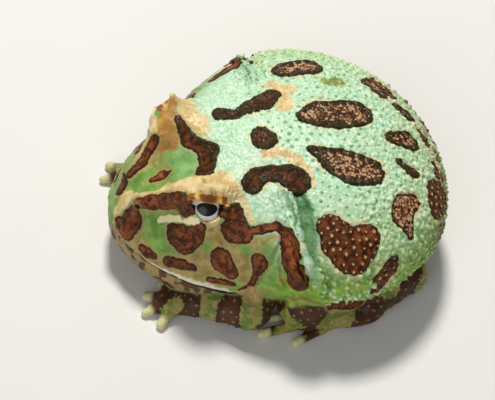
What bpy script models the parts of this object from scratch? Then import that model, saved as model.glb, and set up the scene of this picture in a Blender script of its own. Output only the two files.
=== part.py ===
"""Argentine horned frog, sitting, as a life-size still model.

The animal is described by smooth distance fields: ellipsoids, round cones and a head built from level
slices, blended where flesh runs together. Each named part is the field of its own form, cut 0.3 mm clear
of the part that it grows from, and meshed as one closed body. Sizes are millimetres in the frog's own
frame: +X is its left, -Y the way it faces, +Z up, and the floor is z = 0.
"""

import bpy
import numpy as np

# Driving dimensions
SNOUT_Y = -50.0
RUMP_Y = 52.0
BACK_TOP = 46.5
BODY_HALF_WIDTH = 46.5
HEAD_HALF_WIDTH = 33.0
LIP_Z = 14.0
EYE_RADIUS = 5.8
LID = 1.5
GAP = 0.34

MM = 0.001
SMALLEST = 1e-6


def smooth_min(a, b, k):
    """The smaller of two fields, blended over a band of width k."""
    h = np.clip(0.5 + 0.5 * (b - a) / k, 0.0, 1.0)
    return b + (a - b) * h - k * h * (1.0 - h)


def smooth_max(a, b, k):
    return -smooth_min(-a, -b, k)


def turned(p, centre, degrees):
    """Points seen from centre, turned about the vertical by degrees."""
    angle = np.radians(degrees)
    q = p - np.array(centre)
    x = q[:, 0] * np.cos(angle) + q[:, 1] * np.sin(angle)
    y = q[:, 1] * np.cos(angle) - q[:, 0] * np.sin(angle)
    return np.stack([x, y, q[:, 2]], axis=1)


def ellipsoid(p, centre, radii, turn=0.0):
    q = turned(p, centre, turn)
    radii = np.array(radii, float)
    near = np.linalg.norm(q / radii, axis=1)
    slope = np.linalg.norm(q / radii**2, axis=1) + SMALLEST
    return near * (near - 1.0) / slope


def round_cone(p, a, b, radius_a, radius_b):
    """A tapering limb from a to b with round ends."""
    a = np.array(a, float)
    b = np.array(b, float)
    along = b - a
    t = np.clip((p - a) @ along / (along @ along), 0.0, 1.0)
    away = np.linalg.norm(p - a - t[:, None] * along, axis=1)
    return away - (radius_a + (radius_b - radius_a) * t)


def chain(p, points, radii, k):
    """Round cones from point to point, blended into one limb."""
    field = None
    for a, b, ra, rb in zip(points, points[1:], radii, radii[1:]):
        piece = round_cone(p, a, b, ra, rb)
        field = piece if field is None else smooth_min(field, piece, k)
    return field


def on_side(point, side):
    return (point[0] * side, point[1], point[2])


def slope_of(field, points, step=0.02):
    """The field's unit slope at each point, by small steps."""
    columns = []
    for axis in range(3):
        shift = np.zeros(3)
        shift[axis] = step
        columns.append(field(points + shift) - field(points - shift))
    slope = np.stack(columns, axis=1)
    return slope / (np.linalg.norm(slope, axis=1)[:, None] + SMALLEST)


# Trunk: fat and round, widest behind the arms


def smooth_trunk(p):
    barrel = ellipsoid(p, (0, 11, 22.5), (BODY_HALF_WIDTH, 40, BACK_TOP - 22.5))
    shoulders = ellipsoid(p, (0, -9, 20), (35, 24, 23.5))
    rump = ellipsoid(p, (0, 30, 19), (35, RUMP_Y - 30, 17))
    field = smooth_min(barrel, shoulders, 6)
    return smooth_min(field, rump, 6)


# The fold of skin that hangs from the shoulder over the flank, and the furrow behind it
FOLD = (
    (17.0, -7.0, 42.0),
    (22.5, -6.0, 40.5),
    (28.5, -4.8, 38.0),
    (34.5, -4.4, 34.5),
    (39.5, -3.8, 30.0),
    (42.0, -1.4, 26.0),
    (44.0, 0.6, 20.0),
)
FOLD_RADII = (0.4, 1.3, 1.7, 1.9, 1.9, 1.7, 0.8)
FURROW = (
    (20.5, -3.0, 41.0),
    (28.0, -2.0, 39.0),
    (34.5, -1.2, 35.5),
    (40.0, -0.4, 31.0),
    (43.0, 1.8, 26.5),
    (45.0, 4.0, 20.0),
)
FURROW_RADII = (0.4, 1.4, 1.8, 1.9, 1.6, 0.6)
FOLD_DEPTH = 0.5
FURROW_HEIGHT = 0.5
RIGHT_FOLD_BACK = 4.0
RIGHT_FOLD_SHARE = 0.55


def sunk(points, depth):
    """Points moved to lie that far under the smooth trunk's surface, or above it if negative."""
    points = np.array(points, float)
    for _ in range(6):
        points = points - (smooth_trunk(points) + depth)[:, None] * slope_of(smooth_trunk, points)
    return points


def fold_lines():
    """Each side's fold and furrow, as middle lines, and how full they are; the right ones lie further back."""
    lines = []
    for side, back, share in ((1, 0.0, 1.0), (-1, RIGHT_FOLD_BACK, RIGHT_FOLD_SHARE)):
        shift = np.array((0.0, back, 0.0))
        mirror = np.array((side, 1, 1))
        fold = sunk((FOLD + shift) * mirror, FOLD_DEPTH)
        furrow = sunk((FURROW + shift) * mirror, -FURROW_HEIGHT)
        lines.append((fold, furrow, share))
    return lines


FOLD_LINES = fold_lines()


def torso(p):
    field = smooth_trunk(p)
    near = (np.abs(p[:, 1]) < 14) & (np.abs(field) < 8)
    q = p[near]
    folded = field[near]
    for fold, furrow, share in FOLD_LINES:
        folded = smooth_min(folded, chain(q, fold, share * np.array(FOLD_RADII), 1.5), 2.0)
        folded = smooth_max(folded, -chain(q, furrow, share * np.array(FURROW_RADII), 1.5), 2.5)
    field[near] = folded
    return field


# Head: outlines at rising heights, each with its half width and how far forward it reaches

HEAD_SLICES = (
    (10.0, 32.0, -49.0),
    (14.0, HEAD_HALF_WIDTH, SNOUT_Y),
    (18.0, 32.0, -48.6),
    (22.0, 29.6, -46.2),
    (26.0, 26.6, -43.0),
    (30.0, 23.4, -39.0),
    (34.0, 19.0, -34.6),
    (37.0, 14.0, -29.0),
    (39.5, 7.0, -22.0),
)
JAW_SLICES = (
    (1.0, 17.5, -36.0),
    (3.0, 25.6, -43.4),
    (6.0, 31.0, -48.0),
    (9.0, 32.2, -49.3),
    (11.5, 31.8, -48.9),
    (14.0, 30.8, -47.8),
    (20.0, 30.8, -47.8),
)
HEAD_MID_Y = -16.0
HEAD_ROUNDNESS = 1.7
BEHIND_HEAD = 12.0


def sliced(p, slices):
    """A solid given by its outline at each height, broad and round in front."""
    table = np.array(slices)
    z = np.clip(p[:, 2], table[0, 0], table[-1, 0])
    half = np.interp(z, table[:, 0], table[:, 1])
    front = HEAD_MID_Y - np.interp(z, table[:, 0], table[:, 2])
    reach = np.where(p[:, 1] < HEAD_MID_Y, front, BEHIND_HEAD)
    n = HEAD_ROUNDNESS
    ratio = (np.abs(p[:, 0]) / half) ** n + (np.abs(p[:, 1] - HEAD_MID_Y) / reach) ** n
    ratio = ratio ** (1.0 / n)
    side = (ratio - 1.0) * np.minimum(half, reach)
    # A sloping wall is nearer than its level distance
    lean = np.gradient(table[:, 1], table[:, 0])
    lean = np.interp(z, table[:, 0], lean)
    side = side / np.sqrt(1.0 + lean**2)
    above = p[:, 2] - table[-1, 0]
    return smooth_max(side, above, 3.0)


MOUTH_CORNER = (-24.0, -13.0)
CORNER_RISE = 6.0


def mouth_height(p):
    """The lip line, which sinks a little towards the cheek and turns up at the corner of the mouth."""
    start, end = MOUTH_CORNER
    turn = np.clip((p[:, 1] - start) / (end - start), 0.0, 1.0)
    return LIP_Z - 0.05 * (p[:, 1] - SNOUT_Y) + CORNER_RISE * turn**2


# Eyes with their lids, and the soft pointed peaks of the upper lids

EYE_AT = (16.8, -27.4, 33.8)
GAZE = (0.779, -0.284, 0.559)
HORN_FOOT = (16.2, -27.0, 38.4)
HORN_TIP = (18.5, -28.3, 43.6)
HORN_FOOT_RADIUS = 4.6
HORN_TIP_RADIUS = 1.0
LID_CREST = (
    (13.2, -34.0, 36.4),
    (16.9, -31.6, 38.8),
    (17.6, -27.6, 39.4),
    (16.4, -22.6, 39.8),
    (13.8, -18.6, 38.0),
)
UPPER_LID_AT = 3.3
LOWER_LID_AT = -2.15
LOWER_LID_BOW = 0.18
LID_SLANT = 0.07
LID_CORNER = 5.2
NOSTRIL = (6.0, -43.2, 26.2)


def eyeball(p, side):
    return np.linalg.norm(p - np.array(on_side(EYE_AT, side)), axis=1) - EYE_RADIUS


def eye_opening(p, side):
    """The gap between the lids, nearly straight above and bowed below, running outwards from the eye."""
    gaze = np.array(on_side(GAZE, side))
    gaze = gaze / np.linalg.norm(gaze)
    level = np.cross((0, 0, 1), gaze)
    level = level / np.linalg.norm(level)
    rise = np.cross(gaze, level)
    q = p - np.array(on_side(EYE_AT, side))
    back = q @ level * side
    up = q @ rise
    steep = 2 * LOWER_LID_BOW * (back - 0.7)
    above = up - UPPER_LID_AT + LID_SLANT * back
    below = (LOWER_LID_AT - up + LOWER_LID_BOW * (back - 0.7) ** 2) / np.sqrt(1 + steep**2)
    gap = smooth_max(smooth_max(above, below, 0.5), np.abs(back) - LID_CORNER, 1.0)
    return np.maximum(gap, 1.0 - q @ gaze)


def horn(p, side):
    foot = on_side(HORN_FOOT, side)
    return round_cone(p, foot, on_side(HORN_TIP, side), HORN_FOOT_RADIUS, HORN_TIP_RADIUS)


def face(p):
    """Skull and face with eye bumps, brows, snout ridges and the hollow between them."""
    field = sliced(p, HEAD_SLICES)
    for side in (1, -1):
        bump = ellipsoid(p, on_side(EYE_AT, side), [EYE_RADIUS + LID] * 3)
        brow = ellipsoid(p, (12.6 * side, -26.5, 35.6), (7.0, 9.0, 5.0), turn=-10 * side)
        lid = chain(p, [on_side(q, side) for q in LID_CREST], (1.7, 1.9, 1.9, 2.4, 2.8), 1.0)
        ridge = round_cone(p, (12.0 * side, -33.4, 34.4), (4.6 * side, -42.4, 26.8), 2.6, 2.0)
        nose = round_cone(p, (4.6 * side, -42.4, 26.8), (0.8 * side, -47.0, 18.0), 2.0, 1.6)
        field = smooth_min(field, bump, 3.0)
        field = smooth_min(field, brow, 3.0)
        field = smooth_min(field, lid, 1.5)
        field = smooth_min(field, ridge, 3.0)
        field = smooth_min(field, nose, 4.0)
    valley = chain(
        p,
        ((0, -14, 47.0), (0, -29, 42.4), (0, -39, 35.8), (0, -45, 31.4)),
        (7.5, 7.6, 5.0, 3.2),
        2.0,
    )
    field = smooth_max(field, -valley, 3.0)
    for side in (1, -1):
        pit = ellipsoid(p, on_side(NOSTRIL, side), (1.3, 1.3, 0.9))
        field = smooth_max(field, -pit, 0.5)
    return field


def upper_head(p):
    return smooth_max(face(p), mouth_height(p) - p[:, 2], 1.2)


def lower_jaw(p):
    """Chin and throat, set a little inside the upper lip."""
    field = sliced(p, JAW_SLICES)
    field = smooth_max(field, 1.2 - p[:, 2], 2.0)
    return smooth_max(field, p[:, 2] - mouth_height(p), 1.0)


# Limbs, given for the left side and mirrored for the right

SHOULDER = (26.0, -9.0, 13.0)
ELBOW = (35.5, -16.0, 7.6)
WRIST = (27.6, -31.0, 4.4)
PALM = (25.0, -35.2, 3.0)
FINGER_TIPS = ((17.4, -37.4), (20.6, -42.8), (26.2, -44.4), (31.4, -41.2))
FINGER_RADIUS = 1.6
HIP = (17.0, 33.0, 13.0)
KNEE = (37.0, 0.0, 8.6)
ANKLE = (31.5, 36.5, 6.0)
INSTEP = (39.0, 21.0, 3.8)
SOLE = (39.4, 15.0, 2.7)
TOE_TIPS = ((32.0, 5.0), (32.6, -1.6), (35.6, -8.4), (40.4, -13.0), (45.4, -4.0))
TOE_RADIUS = 1.5


def upper_arm(p, side):
    return round_cone(p, on_side(SHOULDER, side), on_side(ELBOW, side), 7.6, 5.6)


def forearm(p, side):
    return round_cone(p, on_side(ELBOW, side), on_side(WRIST, side), 5.8, 3.7)


def digits(p, side, root, tips, radius, k):
    """Fingers or toes that fan out on the floor, each arched a little at its middle joint."""
    field = None
    for x, y in tips:
        tip = np.array((x * side, y, radius * 0.72))
        foot = np.array(on_side(root, side), float)
        middle = foot * 0.45 + tip * 0.55
        middle[2] = radius * 1.45
        toe = chain(p, (foot, middle, tip), (radius * 1.25, radius * 1.05, radius * 0.8), 0.8)
        field = toe if field is None else smooth_min(field, toe, k)
    return field


def hand(p, side):
    palm = ellipsoid(p, on_side(PALM, side), (4.8, 5.2, 2.8), turn=-20 * side)
    field = smooth_min(palm, digits(p, side, PALM, FINGER_TIPS, FINGER_RADIUS, 1.0), 1.5)
    wrist = round_cone(p, on_side(WRIST, side), on_side(PALM, side), 3.7, 3.0)
    return smooth_min(field, wrist, 1.5)


def thigh(p, side):
    return round_cone(p, on_side(HIP, side), on_side(KNEE, side), 12.0, 7.6)


def shank(p, side):
    return round_cone(p, on_side(KNEE, side), on_side(ANKLE, side), 7.4, 5.2)


def foot(p, side):
    tarsus = round_cone(p, on_side(ANKLE, side), on_side(INSTEP, side), 4.8, 3.8)
    sole = ellipsoid(p, on_side(SOLE, side), (4.6, 9.0, 2.8), turn=-6 * side)
    spade = ellipsoid(p, on_side((35.8, 20.5, 1.7), side), (1.4, 2.6, 1.9), turn=-20 * side)
    toes = digits(p, side, SOLE, TOE_TIPS, TOE_RADIUS, 2.2)
    field = smooth_min(smooth_min(tarsus, sole, 2.5), toes, 1.6)
    return smooth_min(field, spade, 0.8)


# Parting the body: each part keeps clear of what it grows from


def head_and_torso(p):
    return smooth_min(face(p), torso(p), 5.0)


def jaw_and_torso(p):
    return smooth_min(lower_jaw(p), torso(p), 5.0)


def trunk(p):
    field = smooth_min(upper_head(p), lower_jaw(p), 0.4)
    return smooth_min(field, torso(p), 5.0)


def behind_neck(p):
    """Below zero behind the neck, a plane that leans back over the shoulders."""
    return (-15.0 + 0.22 * p[:, 2]) - p[:, 1]


def clear_of(field, other, k=1.2):
    """Field cut back to stay GAP away from other."""
    return smooth_max(field, GAP - other, k)


def torso_part(p):
    return np.maximum(trunk(p), behind_neck(p) + GAP / 2)


def head_part(p):
    field = smooth_max(head_and_torso(p), mouth_height(p) - p[:, 2] + GAP / 2, 1.2)
    field = np.maximum(field, GAP / 2 - behind_neck(p))
    for side in (1, -1):
        field = smooth_max(field, -eye_opening(p, side), 0.6)
        field = np.maximum(field, GAP - eyeball(p, side))
    return field


def jaw_part(p):
    field = smooth_max(jaw_and_torso(p), p[:, 2] - mouth_height(p) + GAP / 2, 1.0)
    return np.maximum(field, GAP / 2 - behind_neck(p))


def horn_part(p, side):
    return clear_of(horn(p, side), head_and_torso(p), 0.3)


def upper_arm_part(p, side):
    return clear_of(upper_arm(p, side), trunk(p))


def forearm_part(p, side):
    field = clear_of(forearm(p, side), upper_arm(p, side), 0.6)
    return clear_of(field, trunk(p))


def hand_part(p, side):
    field = clear_of(hand(p, side), forearm(p, side), 0.5)
    return clear_of(field, trunk(p))


def thigh_part(p, side):
    return clear_of(thigh(p, side), trunk(p))


def shank_part(p, side):
    field = clear_of(shank(p, side), thigh(p, side), 0.8)
    return clear_of(field, trunk(p))


def foot_part(p, side):
    field = clear_of(foot(p, side), shank(p, side), 0.6)
    field = clear_of(field, thigh(p, side), 0.6)
    return clear_of(field, trunk(p))


# Meshing


def edge_ends(edge):
    """The two corners of a cell's edge, numbered by axis and then by its place across that axis."""
    axis, du, dv = edge // 4, edge // 2 % 2, edge % 2
    a = [0, 0, 0]
    a[(axis + 1) % 3] = du
    a[(axis + 2) % 3] = dv
    b = list(a)
    b[axis] = 1
    return tuple(a), tuple(b)


def patch_table():
    """For each pattern of a cell's corners, which of its edges share one patch of surface."""
    table = np.full((256, 12), -1)
    counts = np.zeros(256, int)
    corners = [(x, y, z) for x in (0, 1) for y in (0, 1) for z in (0, 1)]
    for pattern in range(256):
        inside = {c: bool(pattern >> n & 1) for n, c in enumerate(corners)}
        group = {}
        for edge in range(12):
            a, b = edge_ends(edge)
            if inside[a] != inside[b]:
                group[edge] = edge
        for axis in range(3):
            for level in (0, 1):
                face_edges = [e for e in group if all(c[axis] == level for c in edge_ends(e))]
                for first in face_edges:
                    for second in face_edges:
                        # Four crossings on a face are paired about its inner corners
                        shared = set(edge_ends(first)) & set(edge_ends(second))
                        about_inner = any(inside[c] for c in shared)
                        if len(face_edges) == 2 or about_inner:
                            old, kept = group[second], group[first]
                            group = {e: kept if g == old else g for e, g in group.items()}
        names = sorted(set(group.values()))
        counts[pattern] = len(names)
        for edge, name in group.items():
            table[pattern, edge] = names.index(name)
    return table, counts


PATCHES, PATCH_COUNTS = patch_table()


def summed(index, values, size):
    """Rows of values added up by index."""
    flat = values.reshape(len(values), -1)
    columns = [np.bincount(index, weights=column, minlength=size) for column in flat.T]
    return np.stack(columns, axis=1).reshape((size,) + values.shape[1:])


def surface_net(field, low, high, cell):
    """Closed quads where the field is zero, one point for each patch in a cell, set to keep edges sharp."""
    low = np.array(low, float)
    counts = [int(np.ceil((b - a) / cell)) + 1 for a, b in zip(low, high)]
    axes = [a + cell * np.arange(n) for a, n in zip(low, counts)]
    grid = np.stack(np.meshgrid(*axes, indexing="ij"), axis=-1).reshape(-1, 3)
    values = field(grid).reshape(counts)
    values = np.where(np.abs(values) < SMALLEST, SMALLEST, values)
    inside = values < 0
    cells = tuple(n - 1 for n in counts)
    pattern = np.zeros(cells, int)
    for n in range(8):
        x, y, z = n >> 2 & 1, n >> 1 & 1, n & 1
        corner = inside[x : x + cells[0], y : y + cells[1], z : z + cells[2]]
        pattern |= corner.astype(int) << n
    patches = PATCH_COUNTS[pattern]
    first = np.cumsum(patches.ravel()).reshape(cells) - patches
    size = patches.sum()
    corners, places, quads = [], [], []
    for axis in range(3):
        u, v = (axis + 1) % 3, (axis + 2) % 3
        below = np.moveaxis(values, axis, 0)[:-1]
        above = np.moveaxis(values, axis, 0)[1:]
        crosses = np.moveaxis((below < 0) != (above < 0), 0, axis)
        share = np.moveaxis(below / np.where(below == above, 1.0, below - above), 0, axis)
        rising = np.moveaxis(below < 0, 0, axis)
        at = np.argwhere(crosses)
        inner = (at[:, u] > 0) & (at[:, v] > 0)
        inner &= (at[:, u] < counts[u] - 1) & (at[:, v] < counts[v] - 1)
        at = at[inner]
        place = at.astype(float)
        place[:, axis] += share[tuple(at.T)]
        ring = []
        for du, dv in ((1, 1), (0, 1), (0, 0), (1, 0)):
            owner = at.copy()
            owner[:, u] -= du
            owner[:, v] -= dv
            owner = tuple(owner.T)
            ring.append(first[owner] + PATCHES[pattern[owner], axis * 4 + du * 2 + dv])
        ring = np.stack(ring, axis=1)
        corners.append(ring)
        places.append(low + cell * place)
        up = rising[tuple(at.T)]
        quads.append(np.where(up[:, None], ring, ring[:, ::-1]))
    corners = np.concatenate(corners)
    places = np.concatenate(places)
    slopes = slope_of(field, places)
    index = corners.ravel()
    hits = np.maximum(np.bincount(index, minlength=size), 1)[:, None]
    middle = summed(index, np.repeat(places, 4, axis=0), size) / hits
    normal = np.repeat(slopes, 4, axis=0)
    offset = np.repeat(places, 4, axis=0) - middle[index]
    spread = summed(index, normal[:, :, None] * normal[:, None, :], size) + 0.08 * np.eye(3)
    pull = summed(index, normal * (normal * offset).sum(axis=1)[:, None], size)
    points = middle + np.linalg.solve(spread, pull[:, :, None])[:, :, 0]
    owner_cell = np.repeat(np.argwhere(patches > 0), patches[patches > 0], axis=0)
    floor_corner = low + cell * owner_cell
    points = np.clip(points, floor_corner, floor_corner + cell)
    return points, np.concatenate(quads)


def largest_body(points, quads):
    """Only the biggest connected surface, with its points renumbered."""
    label = np.arange(len(points))
    while True:
        low = label[quads].min(axis=1)
        fresh = label.copy()
        np.minimum.at(fresh, quads.ravel(), np.repeat(low, 4))
        fresh = fresh[fresh]
        if (fresh == label).all():
            break
        label = fresh
    names, sizes = np.unique(label[quads[:, 0]], return_counts=True)
    keep = label[quads[:, 0]] == names[sizes.argmax()]
    used, index = np.unique(quads[keep], return_inverse=True)
    return points[used], index.reshape(-1, 4)


def has_crowded_edge(quads):
    """Whether more than two faces meet at an edge, as where two walls pass through one cell."""
    ends = np.concatenate([quads[:, [n, (n + 1) % 4]] for n in range(4)])
    _, counts = np.unique(np.sort(ends, axis=1), axis=0, return_counts=True)
    return counts.max() > 2


def make_node(name, field, low, high, cell, triangles, material):
    """One closed mesh object of the field above the floor, thinned to about that many triangles."""

    def standing(p):
        return np.maximum(field(p), -p[:, 2])

    for nudge in (0.0, 0.31, 0.57, 0.73, 0.17, 0.43, 0.89):
        points, quads = surface_net(standing, np.array(low) - nudge * cell, high, cell)
        points, quads = largest_body(points, quads)
        if not has_crowded_edge(quads):
            break
    mesh = bpy.data.meshes.new(name)
    mesh.from_pydata((points * MM).tolist(), [], quads.tolist())
    mesh.materials.append(material)
    mesh.shade_smooth()
    obj = bpy.data.objects.new(name, mesh)
    bpy.context.scene.collection.objects.link(obj)
    ratio = triangles / (2 * len(quads))
    if ratio < 1:
        thin = obj.modifiers.new("thin", "DECIMATE")
        thin.ratio = ratio


def make_material(name, colour, roughness):
    material = bpy.data.materials.new(name)
    material.use_nodes = True
    shader = material.node_tree.nodes["Principled BSDF"]
    shader.inputs["Base Color"].default_value = (*colour, 1.0)
    shader.inputs["Roughness"].default_value = roughness
    return material


def box_about(points, margin):
    """Corners of the box that holds the points with a margin, down to just under the floor."""
    table = np.array(points, float)
    low = table.min(axis=0) - margin
    high = table.max(axis=0) + margin
    low[2] = max(low[2], -3.0)
    return low, high


def build_frog():
    green = make_material("green_skin", (0.30, 0.62, 0.40), 0.45)
    tan = make_material("tan_skin", (0.70, 0.55, 0.30), 0.45)
    brown = make_material("brown_skin", (0.17, 0.07, 0.04), 0.45)
    pale = make_material("pale_skin", (0.62, 0.60, 0.42), 0.5)
    dark = make_material("eye_dark", (0.02, 0.02, 0.03), 0.08)

    make_node("torso", torso_part, (-51, -20, -3), (51, 56, 50), 1.1, 3600, green)
    make_node("head", head_part, (-44, -54, 8), (44, 0, 50), 0.8, 3600, green)
    make_node("lower_jaw", jaw_part, (-44, -54, -3), (44, -6, 24), 1.2, 1500, pale)
    tips = [(x, y, 0) for x, y in FINGER_TIPS]
    toes = [(x, y, 0) for x, y in TOE_TIPS]
    for side, hand_name in ((1, "left"), (-1, "right")):

        def node(kind, part, points, margin, cell, triangles, material):
            def field(p):
                return part(p, side)

            low, high = box_about([on_side(q, side) for q in points], margin)
            make_node(f"{kind}_{hand_name}", field, low, high, cell, triangles, material)

        node("eye", eyeball, [EYE_AT], EYE_RADIUS + 1.5, 0.9, 320, dark)
        node("horn", horn_part, [HORN_FOOT, HORN_TIP], 6, 0.5, 160, tan)
        node("upper_arm", upper_arm_part, [SHOULDER, ELBOW], 9, 0.9, 500, brown)
        node("forearm", forearm_part, [ELBOW, WRIST], 7, 0.8, 400, green)
        node("hand", hand_part, [WRIST, PALM, *tips], 6, 0.6, 860, tan)
        node("thigh", thigh_part, [HIP, KNEE], 14, 1.1, 600, green)
        node("shank", shank_part, [KNEE, ANKLE], 9, 0.9, 600, brown)
        node("foot", foot_part, [ANKLE, INSTEP, *toes], 7, 0.7, 1120, tan)


def clear_scene():
    for obj in list(bpy.data.objects):
        bpy.data.objects.remove(obj)


clear_scene()
build_frog()
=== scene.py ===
"""Looks of the sitting horned frog: one skin over its solids, wet eyes, a plain floor and soft light.

The skin is the same smooth field as the solids, with the parts blended into one another, meshed finely and
raised into pleats, granules, tubercles and lids. Markings are chains of blended circles on the skin. Lengths
are millimetres in the frog's own frame until the meshes are made: +X is its left, -Y the way it faces, +Z up.
"""

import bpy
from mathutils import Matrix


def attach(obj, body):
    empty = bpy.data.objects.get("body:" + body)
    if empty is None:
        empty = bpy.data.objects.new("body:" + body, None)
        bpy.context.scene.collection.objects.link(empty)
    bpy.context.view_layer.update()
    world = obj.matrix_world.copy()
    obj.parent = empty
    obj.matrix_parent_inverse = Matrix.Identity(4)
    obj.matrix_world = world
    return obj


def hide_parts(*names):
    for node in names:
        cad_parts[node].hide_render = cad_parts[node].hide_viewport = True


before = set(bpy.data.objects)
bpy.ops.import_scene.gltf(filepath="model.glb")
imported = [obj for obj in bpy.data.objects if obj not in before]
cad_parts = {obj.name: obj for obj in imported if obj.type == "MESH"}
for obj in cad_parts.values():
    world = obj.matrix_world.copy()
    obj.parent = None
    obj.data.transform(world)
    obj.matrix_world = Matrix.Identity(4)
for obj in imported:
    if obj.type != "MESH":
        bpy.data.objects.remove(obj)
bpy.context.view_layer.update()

from concurrent.futures import ThreadPoolExecutor
from itertools import product

import bpy
import numpy as np
from mathutils import Matrix
from mathutils.kdtree import KDTree

CELL = 0.5
WORKERS = 4

# Form

SNOUT_Y = -50.0
RUMP_Y = 52.0
BACK_TOP = 46.5
BODY_HALF_WIDTH = 46.5
HEAD_HALF_WIDTH = 33.0
LIP_Z = 14.0
EYE_RADIUS = 5.8
LID = 1.5

MM = 0.001
SMALLEST = 1e-6


def smooth_min(a, b, k):
    """The smaller of two fields, blended over a band of width k."""
    h = np.clip(0.5 + 0.5 * (b - a) / k, 0.0, 1.0)
    return b + (a - b) * h - k * h * (1.0 - h)


def smooth_max(a, b, k):
    return -smooth_min(-a, -b, k)


def turned(p, centre, degrees):
    """Points seen from centre, turned about the vertical by degrees."""
    angle = np.radians(degrees)
    q = p - np.array(centre)
    x = q[:, 0] * np.cos(angle) + q[:, 1] * np.sin(angle)
    y = q[:, 1] * np.cos(angle) - q[:, 0] * np.sin(angle)
    return np.stack([x, y, q[:, 2]], axis=1)


def ellipsoid(p, centre, radii, turn=0.0):
    q = turned(p, centre, turn)
    radii = np.array(radii, float)
    near = np.linalg.norm(q / radii, axis=1)
    slope = np.linalg.norm(q / radii**2, axis=1) + SMALLEST
    return near * (near - 1.0) / slope


def round_cone(p, a, b, radius_a, radius_b):
    """A tapering limb from a to b with round ends."""
    a = np.array(a, float)
    b = np.array(b, float)
    along = b - a
    t = np.clip((p - a) @ along / (along @ along), 0.0, 1.0)
    away = np.linalg.norm(p - a - t[:, None] * along, axis=1)
    return away - (radius_a + (radius_b - radius_a) * t)


def chain(p, points, radii, k):
    """Round cones from point to point, blended into one limb."""
    field = None
    for a, b, ra, rb in zip(points, points[1:], radii, radii[1:]):
        piece = round_cone(p, a, b, ra, rb)
        field = piece if field is None else smooth_min(field, piece, k)
    return field


def on_side(point, side):
    return (point[0] * side, point[1], point[2])


def slope_of(field, points, step=0.02):
    """The field's unit slope at each point, by small steps."""
    columns = []
    for axis in range(3):
        shift = np.zeros(3)
        shift[axis] = step
        columns.append(field(points + shift) - field(points - shift))
    slope = np.stack(columns, axis=1)
    return slope / (np.linalg.norm(slope, axis=1)[:, None] + SMALLEST)


# Trunk: fat and round, widest behind the arms


def smooth_trunk(p):
    barrel = ellipsoid(p, (0, 11, 22.5), (BODY_HALF_WIDTH, 40, BACK_TOP - 22.5))
    shoulders = ellipsoid(p, (0, -9, 20), (35, 24, 23.5))
    rump = ellipsoid(p, (0, 30, 19), (35, RUMP_Y - 30, 17))
    field = smooth_min(barrel, shoulders, 6)
    return smooth_min(field, rump, 6)


# The fold of skin that hangs from the shoulder over the flank, and the furrow behind it
FOLD = (
    (17.0, -7.0, 42.0), (22.5, -6.0, 40.5), (28.5, -4.8, 38.0), (34.5, -4.4, 34.5), (39.5, -3.8, 30.0),
    (42.0, -1.4, 26.0), (44.0, 0.6, 20.0),
)
FOLD_RADII = (0.4, 1.3, 1.7, 1.9, 1.9, 1.7, 0.8)
FURROW = (
    (20.5, -3.0, 41.0), (28.0, -2.0, 39.0), (34.5, -1.2, 35.5), (40.0, -0.4, 31.0), (43.0, 1.8, 26.5),
    (45.0, 4.0, 20.0),
)
FURROW_RADII = (0.4, 1.4, 1.8, 1.9, 1.6, 0.6)
FOLD_DEPTH = 0.5
FURROW_HEIGHT = 0.5
RIGHT_FOLD_BACK = 4.0
RIGHT_FOLD_SHARE = 0.55
RIGHT_PLEATS = 0.4


def on_flank(line, side):
    """A line of the left flank as it lies on that side; the right one is further back and shallower."""
    line = np.array(line, float)
    if side < 0:
        line[:, 0] *= -1
        line[:, 1] += RIGHT_FOLD_BACK
        line[:, 3:] *= RIGHT_PLEATS
    return line


def sunk(points, depth):
    """Points moved to lie that far under the smooth trunk's surface, or above it if negative."""
    for _ in range(6):
        points = points - (smooth_trunk(points) + depth)[:, None] * slope_of(smooth_trunk, points)
    return points


def fold_lines():
    """Each side's fold and furrow, as middle lines, and how full they are."""
    lines = []
    for side, share in ((1, 1.0), (-1, RIGHT_FOLD_SHARE)):
        fold = sunk(on_flank(FOLD, side), FOLD_DEPTH)
        furrow = sunk(on_flank(FURROW, side), -FURROW_HEIGHT)
        lines.append((fold, furrow, share))
    return lines


FOLD_LINES = fold_lines()


def torso(p):
    field = smooth_trunk(p)
    near = (np.abs(p[:, 1]) < 14) & (np.abs(field) < 8)
    q = p[near]
    folded = field[near]
    for fold, furrow, share in FOLD_LINES:
        folded = smooth_min(folded, chain(q, fold, share * np.array(FOLD_RADII), 1.5), 2.0)
        folded = smooth_max(folded, -chain(q, furrow, share * np.array(FURROW_RADII), 1.5), 2.5)
    field[near] = folded
    return field


# Head: outlines at rising heights, each with its half width and how far forward it reaches

HEAD_SLICES = (
    (10.0, 32.0, -49.0), (14.0, HEAD_HALF_WIDTH, SNOUT_Y), (18.0, 32.0, -48.6), (22.0, 29.6, -46.2),
    (26.0, 26.6, -43.0), (30.0, 23.4, -39.0), (34.0, 19.0, -34.6), (37.0, 14.0, -29.0), (39.5, 7.0, -22.0),
)
JAW_SLICES = (
    (1.0, 17.5, -36.0), (3.0, 25.6, -43.4), (6.0, 31.0, -48.0), (9.0, 32.2, -49.3), (11.5, 31.8, -48.9),
    (14.0, 30.8, -47.8), (20.0, 30.8, -47.8),
)
HEAD_MID_Y = -16.0
HEAD_ROUNDNESS = 1.7
BEHIND_HEAD = 12.0


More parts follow.
